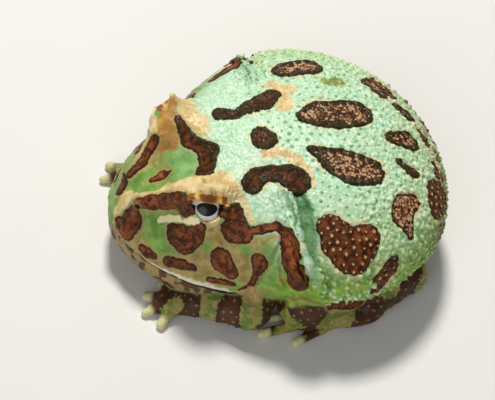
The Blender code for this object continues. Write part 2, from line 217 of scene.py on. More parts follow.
def sliced(p, slices):
    """A solid given by its outline at each height, broad and round in front."""
    table = np.array(slices)
    z = np.clip(p[:, 2], table[0, 0], table[-1, 0])
    half = np.interp(z, table[:, 0], table[:, 1])
    front = HEAD_MID_Y - np.interp(z, table[:, 0], table[:, 2])
    reach = np.where(p[:, 1] < HEAD_MID_Y, front, BEHIND_HEAD)
    n = HEAD_ROUNDNESS
    ratio = (np.abs(p[:, 0]) / half) ** n + (np.abs(p[:, 1] - HEAD_MID_Y) / reach) ** n
    ratio = ratio ** (1.0 / n)
    side = (ratio - 1.0) * np.minimum(half, reach)
    # A sloping wall is nearer than its level distance
    lean = np.gradient(table[:, 1], table[:, 0])
    lean = np.interp(z, table[:, 0], lean)
    side = side / np.sqrt(1.0 + lean**2)
    above = p[:, 2] - table[-1, 0]
    return smooth_max(side, above, 3.0)


MOUTH_CORNER = (-24.0, -13.0)
CORNER_RISE = 6.0


def mouth_height(p):
    """The lip line, which sinks a little towards the cheek and turns up at the corner of the mouth."""
    start, end = MOUTH_CORNER
    turn = np.clip((p[:, 1] - start) / (end - start), 0.0, 1.0)
    return LIP_Z - 0.05 * (p[:, 1] - SNOUT_Y) + CORNER_RISE * turn**2


# Eyes with their lids, and the soft pointed peaks of the upper lids

EYE_AT = (16.8, -27.4, 33.8)
GAZE = (0.779, -0.284, 0.559)
HORN_FOOT = (16.2, -27.0, 38.4)
HORN_TIP = (18.5, -28.3, 43.6)
HORN_FOOT_RADIUS = 4.6
HORN_TIP_RADIUS = 1.0
LID_CREST = (
    (13.2, -34.0, 36.4), (16.9, -31.6, 38.8), (17.6, -27.6, 39.4), (16.4, -22.6, 39.8),
    (13.8, -18.6, 38.0),
)
UPPER_LID_AT = 3.3
LOWER_LID_AT = -2.15
LOWER_LID_BOW = 0.18
LOWER_LID_MIDDLE = 0.7
LID_SLANT = 0.07
LID_CORNER = 5.2
NOSTRIL = (6.0, -43.2, 26.2)


def eyeball(p, side):
    return np.linalg.norm(p - np.array(on_side(EYE_AT, side)), axis=1) - EYE_RADIUS


def eye_axes(side):
    """The directions that are level and rising across the eye, and the one that it looks in."""
    gaze = np.array(on_side(GAZE, side))
    gaze = gaze / np.linalg.norm(gaze)
    level = np.cross((0, 0, 1), gaze)
    level = level / np.linalg.norm(level)
    return level, np.cross(gaze, level), gaze


def eye_view(p, side):
    """How far each point lies back from the eye's middle, above it, and out along its gaze."""
    level, rise, gaze = eye_axes(side)
    q = p - np.array(on_side(EYE_AT, side))
    return q @ level * side, q @ rise, q @ gaze


def above_lid(up, back):
    """How far a place seen from the eye's middle lies above the edge of the upper lid."""
    return up - UPPER_LID_AT + LID_SLANT * back


def eye_opening(p, side):
    """The gap between the lids, nearly straight above and bowed below, running outwards from the eye."""
    back, up, out = eye_view(p, side)
    bow = LOWER_LID_BOW * (back - LOWER_LID_MIDDLE) ** 2
    steep = 2 * LOWER_LID_BOW * (back - LOWER_LID_MIDDLE)
    below = (LOWER_LID_AT - up + bow) / np.sqrt(1 + steep**2)
    gap = smooth_max(smooth_max(above_lid(up, back), below, 0.5), np.abs(back) - LID_CORNER, 1.0)
    return np.maximum(gap, 1.0 - out)


def horn(p, side):
    foot = on_side(HORN_FOOT, side)
    return round_cone(p, foot, on_side(HORN_TIP, side), HORN_FOOT_RADIUS, HORN_TIP_RADIUS)


def face(p):
    """Skull and face with eye bumps, brows, snout ridges and the hollow between them."""
    field = sliced(p, HEAD_SLICES)
    for side in (1, -1):
        bump = ellipsoid(p, on_side(EYE_AT, side), [EYE_RADIUS + LID] * 3)
        brow = ellipsoid(p, (12.6 * side, -26.5, 35.6), (7.0, 9.0, 5.0), turn=-10 * side)
        lid = chain(p, [on_side(q, side) for q in LID_CREST], (1.7, 1.9, 1.9, 2.4, 2.8), 1.0)
        ridge = round_cone(p, (12.0 * side, -33.4, 34.4), (4.6 * side, -42.4, 26.8), 2.6, 2.0)
        nose = round_cone(p, (4.6 * side, -42.4, 26.8), (0.8 * side, -47.0, 18.0), 2.0, 1.6)
        field = smooth_min(field, bump, 3.0)
        field = smooth_min(field, brow, 3.0)
        field = smooth_min(field, lid, 1.5)
        field = smooth_min(field, ridge, 3.0)
        field = smooth_min(field, nose, 4.0)
    valley = chain(
        p,
        ((0, -14, 47.0), (0, -29, 42.4), (0, -39, 35.8), (0, -45, 31.4)),
        (7.5, 7.6, 5.0, 3.2),
        2.0,
    )
    field = smooth_max(field, -valley, 3.0)
    for side in (1, -1):
        pit = ellipsoid(p, on_side(NOSTRIL, side), (1.3, 1.3, 0.9))
        field = smooth_max(field, -pit, 0.5)
    return field


def upper_head(p):
    return smooth_max(face(p), mouth_height(p) - p[:, 2], 1.2)


def lower_jaw(p):
    """Chin and throat, set a little inside the upper lip."""
    field = sliced(p, JAW_SLICES)
    field = smooth_max(field, 1.2 - p[:, 2], 2.0)
    return smooth_max(field, p[:, 2] - mouth_height(p), 1.0)


# Limbs, given for the left side and mirrored for the right

SHOULDER = (26.0, -9.0, 13.0)
ELBOW = (35.5, -16.0, 7.6)
WRIST = (27.6, -31.0, 4.4)
PALM = (25.0, -35.2, 3.0)
FINGER_TIPS = ((17.4, -37.4), (20.6, -42.8), (26.2, -44.4), (31.4, -41.2))
FINGER_RADIUS = 1.6
HIP = (17.0, 33.0, 13.0)
KNEE = (37.0, 0.0, 8.6)
ANKLE = (31.5, 36.5, 6.0)
INSTEP = (39.0, 21.0, 3.8)
SOLE = (39.4, 15.0, 2.7)
TOE_TIPS = ((32.0, 5.0), (32.6, -1.6), (35.6, -8.4), (40.4, -13.0), (45.4, -4.0))
TOE_RADIUS = 1.5


def upper_arm(p, side):
    return round_cone(p, on_side(SHOULDER, side), on_side(ELBOW, side), 7.6, 5.6)


def forearm(p, side):
    return round_cone(p, on_side(ELBOW, side), on_side(WRIST, side), 5.8, 3.7)


def digits(p, side, root, tips, radius, k):
    """Fingers or toes that fan out on the floor, each arched a little at its middle joint."""
    field = None
    for x, y in tips:
        tip = np.array((x * side, y, radius * 0.72))
        foot = np.array(on_side(root, side), float)
        middle = foot * 0.45 + tip * 0.55
        middle[2] = radius * 1.45
        toe = chain(p, (foot, middle, tip), (radius * 1.25, radius * 1.05, radius * 0.8), 0.8)
        field = toe if field is None else smooth_min(field, toe, k)
    return field


def hand(p, side):
    palm = ellipsoid(p, on_side(PALM, side), (4.8, 5.2, 2.8), turn=-20 * side)
    field = smooth_min(palm, digits(p, side, PALM, FINGER_TIPS, FINGER_RADIUS, 1.0), 1.5)
    wrist = round_cone(p, on_side(WRIST, side), on_side(PALM, side), 3.7, 3.0)
    return smooth_min(field, wrist, 1.5)


def thigh(p, side):
    return round_cone(p, on_side(HIP, side), on_side(KNEE, side), 12.0, 7.6)


def shank(p, side):
    return round_cone(p, on_side(KNEE, side), on_side(ANKLE, side), 7.4, 5.2)


def foot(p, side):
    tarsus = round_cone(p, on_side(ANKLE, side), on_side(INSTEP, side), 4.8, 3.8)
    sole = ellipsoid(p, on_side(SOLE, side), (4.6, 9.0, 2.8), turn=-6 * side)
    spade = ellipsoid(p, on_side((35.8, 20.5, 1.7), side), (1.4, 2.6, 1.9), turn=-20 * side)
    toes = digits(p, side, SOLE, TOE_TIPS, TOE_RADIUS, 2.2)
    field = smooth_min(smooth_min(tarsus, sole, 2.5), toes, 1.6)
    return smooth_min(field, spade, 0.8)


def trunk(p):
    field = smooth_min(upper_head(p), lower_jaw(p), 0.4)
    return smooth_min(field, torso(p), 5.0)


# Pleats of loose skin at the left shoulder, on top of the solid's fold, as (x, y, z, radius)
RIDGES = (
    (
        (18.6, -9.0, 41.6, 0.4), (21.4, -8.7, 41.0, 1.3), (25.4, -8.2, 39.3, 1.7), (28.1, -8.0, 38.1, 1.7),
        (30.3, -7.8, 37.0, 1.2),
    ),
    (
        (19.3, -6.5, 42.5, 0.4), (22.4, -5.9, 41.9, 1.2), (27.6, -4.7, 40.0, 1.6), (33.4, -4.4, 37.3, 1.7),
        (36.9, -4.5, 34.9, 1.7), (40.4, -3.7, 31.9, 1.6), (42.8, -1.5, 28.2, 1.5), (44.3, 0.2, 25.0, 1.0),
    ),
    (
        (33.4, -7.2, 34.6, 0.6), (35.6, -7.6, 33.0, 1.4), (38.2, -6.9, 30.6, 1.8), (40.8, -5.9, 27.4, 1.8),
        (42.0, -4.6, 24.0, 1.2),
    ),
)
GROOVES = (
    (
        (20.0, -7.7, 42.9, 0.4), (23.0, -7.1, 42.1, 1.2), (26.5, -6.4, 40.7, 1.5), (29.5, -6.2, 39.5, 1.4),
        (32.0, -6.2, 38.2, 0.8),
    ),
    (
        (20.4, -3.9, 43.0, 0.5), (23.1, -2.7, 42.0, 1.4), (27.6, -2.2, 40.4, 1.9), (32.5, -2.3, 38.2, 2.0),
        (36.0, -2.4, 35.8, 1.8), (39.0, -1.8, 33.4, 1.2),
    ),
    (
        (36.2, -6.7, 35.2, 0.4), (38.8, -6.2, 33.1, 1.1), (41.3, -5.0, 30.1, 1.4), (43.3, -3.2, 27.0, 1.4),
        (44.6, -1.8, 23.6, 0.8),
    ),
    (
        (31.6, -9.4, 36.2, 0.3), (33.9, -10.2, 33.5, 0.6), (36.9, -10.4, 30.0, 0.8),
        (39.2, -9.8, 25.1, 0.7), (40.6, -8.2, 20.7, 0.4),
    ),
    (
        (32.3, -9.4, 35.6, 0.3), (34.5, -10.9, 32.9, 0.7), (35.9, -13.1, 29.0, 0.9),
        (36.2, -15.0, 25.9, 0.8), (35.9, -16.3, 21.0, 0.6), (34.4, -17.6, 16.4, 0.4),
    ),
)
NOSTRIL_RIM = ((5.6, -44.2, 27.6, 0.5), (6.8, -44.3, 27.4, 0.7), (7.6, -43.6, 27.0, 0.5))
NOSTRIL_HOLE = (7.2, -44.4, 27.2)


def creased(field, q, line, blend, groove=False):
    """The field with a ridge or a groove along a line of (x, y, z, radius)."""
    piece = chain(q, line[:, :3], line[:, 3], 1.0)
    if groove:
        return smooth_max(field, -piece, blend)
    return smooth_min(field, piece, blend)


def with_eyes(field, p):
    """The field with horns, open lids, empty eye sockets and nostrils."""
    for side in (1, -1):
        field = smooth_min(field, horn(p, side), 1.2)
        field = smooth_max(field, -eye_opening(p, side), 1.1)
        field = np.maximum(field, 0.1 - eyeball(p, side))
        field = creased(field, p, np.array(NOSTRIL_RIM) * (side, 1, 1, 1), 0.5)
        field = smooth_max(field, -ellipsoid(p, on_side(NOSTRIL_HOLE, side), (1.0, 1.2, 0.7)), 0.3)
    return field


def with_pleats(field, p):
    for side in (1, -1):
        for line in RIDGES:
            field = creased(field, p, on_flank(line, side), 0.8)
        for line in GROOVES:
            field = creased(field, p, on_flank(line, side), 0.6, groove=True)
    return field


def with_limbs(field, p):
    for side in (1, -1):
        arm = smooth_min(upper_arm(p, side), forearm(p, side), 2.0)
        arm = smooth_min(arm, hand(p, side), 1.5)
        leg = smooth_min(thigh(p, side), shank(p, side), 1.2)
        leg = smooth_min(leg, foot(p, side), 1.2)
        field = smooth_min(field, arm, 2.0)
        field = smooth_min(field, leg, 1.2)
    return field


def skin(p):
    """The whole body as one blended form, each feature worked out only where it can reach."""
    field = trunk(p)
    high = (p[:, 2] > 24) & (p[:, 1] < -12)
    field[high] = with_eyes(field[high], p[high])
    loose = (np.abs(p[:, 1]) < 22) & (p[:, 2] > 10) & (np.abs(field) < 6)
    field[loose] = with_pleats(field[loose], p[loose])
    low = p[:, 2] < 30
    field[low] = with_limbs(field[low], p[low])
    return np.maximum(field, -p[:, 2])


# Meshing


def in_chunks(function, p):
    """The function of many points, worked out in pieces side by side."""
    pieces = np.array_split(p, max(1, len(p) // 20000))
    with ThreadPoolExecutor(WORKERS) as pool:
        return np.concatenate(list(pool.map(function, pieces)))


def value_and_slope(p, step=0.03):
    """The skin's field and its slope at each point, from four places around it."""
    corners = np.array([(1, -1, -1), (-1, -1, 1), (-1, 1, -1), (1, 1, 1)], float)
    values = [skin(p + step * corner) for corner in corners]
    slope = sum(value[:, None] * corner for value, corner in zip(values, corners)) / (4 * step)
    return np.hstack([np.mean(values, axis=0)[:, None], slope])


def unit(vectors):
    return vectors / (np.linalg.norm(vectors, axis=1)[:, None] + SMALLEST)


def settled(p, rounds=2):
    """Points moved onto the skin's surface, with its outward directions there."""
    for _ in range(rounds):
        found = in_chunks(value_and_slope, p)
        normal = unit(found[:, 1:])
        steep = np.maximum(np.linalg.norm(found[:, 1:], axis=1), 0.5)
        move = np.clip(found[:, 0] / steep, -0.5 * CELL, 0.5 * CELL)
        p = p - move[:, None] * normal
        p[:, 2] = np.maximum(p[:, 2], 0.0)
    return p, normal


def edge_ends(edge):
    """The two corners of a cell's edge, numbered by axis and then by its place across that axis."""
    axis, du, dv = edge // 4, edge // 2 % 2, edge % 2
    a = [0, 0, 0]
    a[(axis + 1) % 3] = du
    a[(axis + 2) % 3] = dv
    b = list(a)
    b[axis] = 1
    return tuple(a), tuple(b)


def patch_table():
    """For each pattern of a cell's corners, which of its edges share one patch of surface."""
    table = np.full((256, 12), -1)
    counts = np.zeros(256, int)
    corners = list(product((0, 1), repeat=3))
    for pattern in range(256):
        inside = {c: bool(pattern >> n & 1) for n, c in enumerate(corners)}
        group = {}
        for edge in range(12):
            a, b = edge_ends(edge)
            if inside[a] != inside[b]:
                group[edge] = edge
        for axis in range(3):
            for level in (0, 1):
                face_edges = [e for e in group if all(c[axis] == level for c in edge_ends(e))]
                for first in face_edges:
                    for second in face_edges:
                        shared = set(edge_ends(first)) & set(edge_ends(second))
                        about_inner = any(inside[c] for c in shared)
                        if len(face_edges) == 2 or about_inner:
                            old, kept = group[second], group[first]
                            group = {e: kept if g == old else g for e, g in group.items()}
        names = sorted(set(group.values()))
        counts[pattern] = len(names)
        for edge, name in group.items():
            table[pattern, edge] = names.index(name)
    return table, counts


def sampled(low, counts):
    """The skin's field on the grid, close to the surface worked out in full and elsewhere roughly."""
    stride = 3
    coarse_counts = [(n - 1) // stride + 2 for n in counts]
    axes = [a + CELL * stride * np.arange(n) for a, n in zip(low, coarse_counts)]
    coarse = np.stack(np.meshgrid(*axes, indexing="ij"), axis=-1).reshape(-1, 3)
    coarse = in_chunks(skin, coarse).reshape(coarse_counts)
    picks = [(np.arange(n) + stride // 2) // stride for n in counts]
    values = coarse[np.ix_(*picks)]
    near = np.abs(values) < 1.9 * stride * CELL
    at = np.argwhere(near)
    values[near] = in_chunks(skin, low + CELL * at)
    return np.where(np.abs(values) < SMALLEST, SMALLEST, values)


def skin_net(low, high):
    """Closed quads over the skin, one point for each patch of surface in a cell."""
    patch_of, patch_counts = patch_table()
    low = np.array(low, float)
    counts = [int(np.ceil((b - a) / CELL)) + 1 for a, b in zip(low, high)]
    values = sampled(low, counts)
    inside = values < 0
    cells = tuple(n - 1 for n in counts)
    pattern = np.zeros(cells, int)
    for n in range(8):
        x, y, z = n >> 2 & 1, n >> 1 & 1, n & 1
        corner = inside[x : x + cells[0], y : y + cells[1], z : z + cells[2]]
        pattern |= corner.astype(int) << n
    patches = patch_counts[pattern]
    first = np.cumsum(patches.ravel()).reshape(cells) - patches
    size = patches.sum()
    rings, places, quads = [], [], []
    for axis in range(3):
        u, v = (axis + 1) % 3, (axis + 2) % 3
        below = np.moveaxis(values, axis, 0)[:-1]
        above = np.moveaxis(values, axis, 0)[1:]
        crosses = np.moveaxis((below < 0) != (above < 0), 0, axis)
        share = np.moveaxis(below / np.where(below == above, 1.0, below - above), 0, axis)
        rising = np.moveaxis(below < 0, 0, axis)
        at = np.argwhere(crosses)
        inner = (at[:, u] > 0) & (at[:, v] > 0)
        inner &= (at[:, u] < counts[u] - 1) & (at[:, v] < counts[v] - 1)
        at = at[inner]
        place = at.astype(float)
        place[:, axis] += share[tuple(at.T)]
        ring = []
        for du, dv in ((1, 1), (0, 1), (0, 0), (1, 0)):
            owner = at.copy()
            owner[:, u] -= du
            owner[:, v] -= dv
            owner = tuple(owner.T)
            ring.append(first[owner] + patch_of[pattern[owner], axis * 4 + du * 2 + dv])
        ring = np.stack(ring, axis=1)
        rings.append(ring)
        places.append(low + CELL * place)
        up = rising[tuple(at.T)]
        quads.append(np.where(up[:, None], ring, ring[:, ::-1]))
    index = np.concatenate(rings).ravel()
    places = np.repeat(np.concatenate(places), 4, axis=0)
    hits = np.maximum(np.bincount(index, minlength=size), 1)
    points = np.stack([np.bincount(index, weights=c, minlength=size) for c in places.T], axis=1)
    return points / hits[:, None], np.concatenate(quads)


def largest_body(points, quads):
    """Only the biggest connected surface, with its points renumbered."""
    label = np.arange(len(points))
    while True:
        lowest = label[quads].min(axis=1)
        fresh = label.copy()
        np.minimum.at(fresh, quads.ravel(), np.repeat(lowest, 4))
        fresh = fresh[fresh]
        if (fresh == label).all():
            break
        label = fresh
    names, sizes = np.unique(label[quads[:, 0]], return_counts=True)
    keep = label[quads[:, 0]] == names[sizes.argmax()]
    used, index = np.unique(quads[keep], return_inverse=True)
    return points[used], index.reshape(-1, 4)


def split_quads(points, quads):
    """Each quad made into four, with new points at its middle and the middles of its sides."""
    ends = np.stack([quads, np.roll(quads, -1, axis=1)], axis=2).reshape(-1, 2)
    ends = np.sort(ends, axis=1)
    key = ends[:, 0] * len(points) + ends[:, 1]
    _, first, index = np.unique(key, return_index=True, return_inverse=True)
    side_points = points[ends[first]].mean(axis=1)
    middle_points = points[quads].mean(axis=1)
    side = len(points) + index.reshape(-1, 4)
    middle = len(points) + len(side_points) + np.arange(len(quads))
    fresh = []
    for n in range(4):
        fresh.append(np.stack([quads[:, n], side[:, n], middle, side[:, n - 1]], axis=1))
    return np.concatenate([points, side_points, middle_points]), np.concatenate(fresh)


def mesh_object(name, points, faces):
    mesh = bpy.data.meshes.new(name)
    mesh.vertices.add(len(points))
    mesh.vertices.foreach_set("co", (points * MM).astype(np.float32).ravel())
    sides = faces.shape[1]
    mesh.loops.add(faces.size)
    mesh.loops.foreach_set("vertex_index", faces.astype(np.int32).ravel())
    mesh.polygons.add(len(faces))
    mesh.polygons.foreach_set("loop_start", np.arange(0, faces.size, sides, dtype=np.int32))
    mesh.update()
    mesh.validate()
    mesh.shade_smooth()
    obj = bpy.data.objects.new(name, mesh)
    bpy.context.scene.collection.objects.link(obj)
    return obj


def store(obj, name, values):
    """A number for each point of the mesh, for the material to read."""
    layer = obj.data.attributes.new(name, "FLOAT", "POINT")
    layer.data.foreach_set("value", values.astype(np.float32))


# Fine relief


HASH_PRIMES = (73856093, 19349663, 83492791, 7919)
HASH_FACTOR = 1274126177
HASH_RANGE = 0xFFFFFF


def hashed(cells, salt):
    """A repeatable number from 0 to 1 for each whole-number place."""
    p, q, r, s = HASH_PRIMES
    n = cells[..., 0] * p ^ cells[..., 1] * q ^ cells[..., 2] * r ^ salt * s
    n = (n ^ (n >> 13)) * HASH_FACTOR
    n = n ^ (n >> 16)
    return (n & HASH_RANGE) / HASH_RANGE


def noise(p, scale, salt):
    """Smooth noise from -1 to 1 with features about that many millimetres across."""
    q = p / scale
    base = np.floor(q).astype(np.int64)
    t = q - base
    t = t * t * (3 - 2 * t)
    total = np.zeros(len(p))
    for corner in product((0, 1), repeat=3):
        weight = np.prod(np.where(corner, t, 1 - t), axis=1)
        total += weight * hashed(base + corner, salt)
    return total * 2 - 1


def granules(p, spacing, small, large, salt):
    """Height from 0 to 1 of round grains of skin scattered about that far apart."""
    base = np.floor(p / spacing).astype(np.int64)
    best = np.zeros(len(p))
    for offset in product((-1, 0, 1), repeat=3):
        place = base + offset
        jitter = np.stack([hashed(place, salt + n) for n in range(3)], axis=1)
        centre = (place + jitter) * spacing
        size = small + (large - small) * hashed(place, salt + 3) ** 2
        dome = 1 - ((p - centre) ** 2).sum(axis=1) / size**2
        best = np.maximum(best, dome * np.sqrt(size / large))
    return best


def ramp(value, low, high):
    """0 below low, 1 above high and smooth between; low may be the larger."""
    t = np.clip((value - low) / (high - low), 0, 1)
    return t * t * (3 - 2 * t)


# Markings on the skin: each is a chain of circles, as (x, y, z, radius)

DARK_MARKS = {
    "interorb": [
        (-11.9, -28.2, 40.9, 1.2), (-5.7, -26.5, 38.2, 2.3), (-0.8, -23.5, 39.5, 2.4),
        (1.3, -22.8, 39.9, 3.5), (7, -24.7, 39.7, 2.6), (7.2, -25, 39.6, 3.5),
    ],
    "slit": [(0.1, -38.4, 29.6, 0.9), (0.4, -35.3, 31.4, 1.5), (0.7, -32.9, 33.1, 0.3)],
    "loreal": [
        (7, -43.8, 28.2, 1.7), (8.8, -41, 29.5, 2.6), (11.4, -38, 31.9, 3.1), (15.2, -35.6, 36, 3.3),
        (15.4, -34.4, 38.4, 1.8), (17.4, -33.5, 39.4, 1.4), (18, -34.3, 36.2, 2.4),
        (20.3, -32.4, 37.9, 1.2),
    ],
    "snout_l": [
        (6.5, -44.9, 25, 1.7), (7.2, -45.2, 21, 3.5), (7.6, -46.6, 17.8, 3.2), (5, -48.1, 17.6, 2.3),
    ],
    "cheek": [
        (15.9, -36, 25.6, 1.7), (18, -34.9, 24.9, 3.3), (20.4, -33.3, 24.2, 3.5), (18.6, -32.9, 28.2, 2.6),
        (20.8, -31.6, 26.8, 3.4), (23.2, -30.9, 33.8, 2.1),
    ],
    "behind_eye": [(22.2, -23.9, 37.6, 1.8), (22.1, -20.8, 36.9, 2.7), (25.7, -17.6, 35.5, 0.3)],
    "tympanum": [(24.4, -22.7, 33.5, 2.2), (25.6, -21.4, 32.7, 3.4), (27.3, -19, 33.2, 3)],
    "teardrop": [(27.9, -24.8, 24.3, 3.3), (28.9, -24.4, 23.1, 3.3), (31.2, -22.4, 21.1, 2.4)],
    "lip_1": [(14.4, -43.9, 16.7, 1.4), (16.3, -42.7, 16.7, 1.6), (18, -41.1, 16.9, 1.1)],
    "lip_2": [(21.4, -37.8, 17.6, 1.9), (24.2, -34.3, 18.6, 1.6), (26.1, -31.8, 18.7, 1.1)],
    "lip_3": [(29.1, -27.6, 16.5, 1.2), (31, -24.2, 16.9, 1.2), (32.4, -21.6, 17, 1)],
    "canthus_r": [
        (-3.7, -44.1, 28.8, 1.2), (-5.7, -39.8, 31, 1.4), (-7.9, -37.4, 33.6, 1.4),
        (-9.4, -35.6, 36.1, 1.7),
    ],
    "snout_r": [(-4.4, -46, 25.1, 3.1), (-3.7, -46.5, 23.7, 2.6)],
    "scap_r": [
        (-10.2, -15.8, 42.6, 2.7), (-8, -12.4, 43.8, 1.9), (-9.7, -7.1, 44.5, 2.9),
        (-10.7, -2.9, 44.8, 3.5), (-12.9, 0.4, 44.8, 2.9),
    ],
    "round": [(2, -7.6, 45.1, 3.1), (3.7, -7.2, 45.1, 4)],
    "bean": [
        (16.5, -14.1, 41.6, 3.4), (15.3, -12.8, 42.3, 3), (14.9, -9.1, 43.2, 2.5), (17.4, -3.4, 43.4, 3.7),
        (18.8, -2.6, 43.1, 4.3), (19.8, -1.5, 43, 3.7),
    ],
    "vertical": [
        (31.8, -7.8, 36.2, 2), (35, -7.3, 34.2, 3.2), (37.9, -7.8, 30.6, 2.9), (41, -6.2, 27.5, 3),
        (41.5, -6, 25.5, 3.2),
    ],
    "link": [
        (27.4, -17.4, 34, 1.4), (28.4, -14.4, 35.4, 1.3), (29.4, -9.9, 36.9, 1.3), (31.6, -8.2, 36.4, 1.6),
    ],
    "corner": [(33.8, -16, 28.6, 2.1), (34.8, -15.7, 27.4, 2.3), (35.3, -16.5, 22.6, 1)],
    # Red-brown under the flank's fringe: partly its own colour, partly painted shade under the overhang
    "under_fringe_red_and_shade": [(44, 8.1, 14.9, 4.5), (41.3, 14.5, 10.7, 3.2)],
    "mouth_curl": [
        (33.4, -20, 14.8, 0.3), (34, -18.4, 16.6, 0.6), (35, -17, 19, 0.9), (35.4, -16.5, 22, 1.1),
    ],
    "right_column": [
        (-31.5, -11.5, 35, 1.8), (-34.5, -5.5, 35.4, 2.6), (-34.6, -3.3, 36.6, 2.4), (-36.5, 0.5, 35, 2.4),
        (-40, -1.5, 29, 3.2), (-42.6, -0.6, 22, 2.8),
    ],
    "cheek_r": [(-19.4, -33.6, 24.6, 3.8), (-16.5, -36, 22.5, 2.6)],
    "behind_eye_r": [(-23.4, -23, 35, 2.4), (-26.5, -19.5, 31.5, 3.2)],
    "jowl_r": [(-29.2, -24.4, 23, 3), (-31.4, -21.6, 19.6, 2)],
    "corner_r": [(-34.6, -14.6, 26.4, 2.2), (-34.8, -16.5, 21.6, 1.2)],
    "lip_r1": [(-12.6, -45.2, 17, 1.4), (-16, -43.2, 17.4, 1)],
    "lip_r2": [(-22.6, -37.2, 17.4, 1.4), (-26.5, -32.2, 17.6, 1)],
}
TAN_PATCHES = {
    "wedge": [
        (2.6, -49.5, 16.2, 0.5), (2.1, -47.4, 22.6, 1.7), (1.7, -45.8, 24.9, 2.5), (4, -44.4, 28.7, 1.1),
    ],
    "canthus_l_cream": [
        (5.1, -43.3, 29.8, 0.7), (7.2, -36.4, 33.2, 3), (11, -33.6, 38.8, 2.2), (11.1, -30.7, 40.1, 2.4),
    ],
    "lid_r_cream": [
        (-16.8, -25.8, 42.4, 2.4), (-14.4, -24.9, 41.5, 3), (-9.5, -22.7, 40.9, 2.8), (-6, -22.4, 40.6, 2),
    ],
    "canthus_r_rim": [(-8.6, -40.5, 30.8, 1.6), (-10.7, -38.3, 32.2, 2.4), (-11.4, -36.1, 36.8, 0.5)],
    "dome_l": [
        (12.5, -29.9, 40.7, 3.6), (14.1, -23.5, 41.6, 4.5), (17.7, -20.2, 41.3, 2.8),
        (17.4, -19.3, 41.1, 1.5), (25.3, -16.4, 36.4, 0.9),
    ],
    "bean_halo": [
        (8.8, -8.7, 44.4, 1.5), (9.4, -4.2, 44.9, 1.5), (12.2, -0.2, 44.8, 1.5), (16, 1.4, 44.3, 1.5),
        (21.1, 1.7, 43.1, 1.5),
    ],
    "scap_halo": [(-7.5, 2.6, 45.7, 2.8), (-11.9, 4.4, 45.4, 0.9), (-14.1, 6, 45.2, 2.4)],
    "dome_low": [
        (12.2, -32.9, 39.4, 1.8), (14.6, -26, 41.8, 3.3), (18.3, -28.5, 44.5, 1), (16.6, -23.3, 42.4, 2.2),
        (22.3, -18.5, 37.3, 1.1),
    ],
    "cape_cream": [(29.4, -7.6, 38, 0.6), (30.3, -7.7, 37.3, 0.6)],
    "dome_gap": [
        (15.4, -28.5, 41.4, 2.2), (17.6, -25.3, 41.8, 2.2), (18.7, -23, 41.2, 2.2), (20.2, -20.8, 38.5, 2),
    ],
    "lower_lid": [
        (23.6, -29.6, 35, 1), (23.9, -28.4, 34.9, 1.1), (23.9, -27, 35.4, 1.1), (23.5, -25.9, 36.3, 0.9),
    ],
    "dome_gap2": [(18.4, -28.4, 43.8, 2.4), (19.6, -27.4, 42.6, 2), (20.4, -25.2, 41.4, 1.8)],
    "horn_r": [(-18.5, -28.3, 44.6, 2), (-17.9, -27.6, 42.8, 2.4)],
    "far_gap": [
        (-19.8, -33.4, 36.7, 1.7), (-18, -34.2, 36.7, 1.7), (-14.7, -35.2, 37.9, 1.7),
        (-12.1, -35.4, 37.9, 1.7),
    ],
    "stroke_halo": [(-18, 2.2, 44, 1.9), (-13.5, 4.7, 45.2, 1.9), (-7.5, 1.4, 45.6, 1.9)],
}
MUTED_PATCHES = {
    "canthus_r_tan": [
        (-3, -43.5, 28.7, 0.2), (-4.8, -38.3, 30.5, 0.6), (-6.8, -35.4, 33, 0.9), (-7, -34.6, 33.6, 1),
    ],
    "cheek_tan": [(23.1, -28.2, 27.5, 0.7), (24, -27.9, 34.6, 1.7), (24.1, -27.5, 34.2, 2.3)],
    "jowl_tan": [
        (21.5, -36.5, 19.3, 0.6), (23.8, -32.6, 20.5, 1.5), (26.2, -29.1, 20.9, 2.7),
        (29.2, -25.8, 19.8, 0.3),
    ],
    "lip_tan": [
        (11.5, -46, 15.6, 0.6), (13.3, -44.4, 17.1, 2.1), (14.7, -43.7, 16.4, 1.3),
        (20.2, -39.2, 16.9, 0.8),
    ],
    "teardrop_tan": [(27.2, -23.3, 28.3, 1), (28.4, -22.4, 27.7, 0.7), (30.6, -21.5, 25.1, 0.4)],
    "cheek_tan2": [(23.3, -28.4, 26.5, 0.3), (24.1, -27.6, 33.6, 1.9), (24.2, -26.4, 32.1, 2.5)],
    "jowl_tan2": [
        (22.7, -34.4, 20.1, 0.4), (26.7, -28.5, 21, 1.8), (26.6, -28.5, 21, 3.2), (26.6, -28.4, 21.2, 0.3),
    ],
    "teardrop_tan2": [
        (28.4, -22, 28.3, 1.4), (31.5, -20, 26.3, 1.9), (32.1, -19.5, 25.9, 2.2), (33.4, -19.5, 19.8, 1.1),
    ],
    "snout_tan": [
        (13.7, -44.3, 16.8, 1.6), (14, -44.2, 16.4, 0.4), (18, -41.1, 16.9, 0.7), (21.1, -37.9, 18.1, 0.6),
    ],
    "neck_tan": [(30.2, -17.6, 31.5, 0.6), (31, -15.7, 32.5, 0.6), (31.7, -10.1, 35.2, 0.4)],
    "arm_tan": [(34.7, -17.4, 15, 2.2), (36.4, -15.4, 16.4, 2.3)],
    "lip_edge": [
        (15.5, -43.2, 16.6, 1.3), (18.7, -40.7, 16.3, 1.3), (23.4, -36.3, 15.9, 1.3),
        (26.3, -32.6, 15.9, 1.3), (28.6, -28.7, 16.2, 1.3), (30.9, -24.4, 17.3, 1.3),
    ],
    "jowl_edge": [(25.4, -28.9, 22.6, 1.9), (26.5, -29.2, 20.3, 1.9), (27.9, -28.5, 18.7, 1.9)],
    "under_eye": [(24, -28.9, 33.9, 1.7), (24, -27.4, 31.4, 1.7), (25.3, -25.3, 28.1, 1.7)],
    "nose_edge": [(10.2, -43.9, 20.9, 1.3), (10.9, -45.4, 18, 1.3)],
}
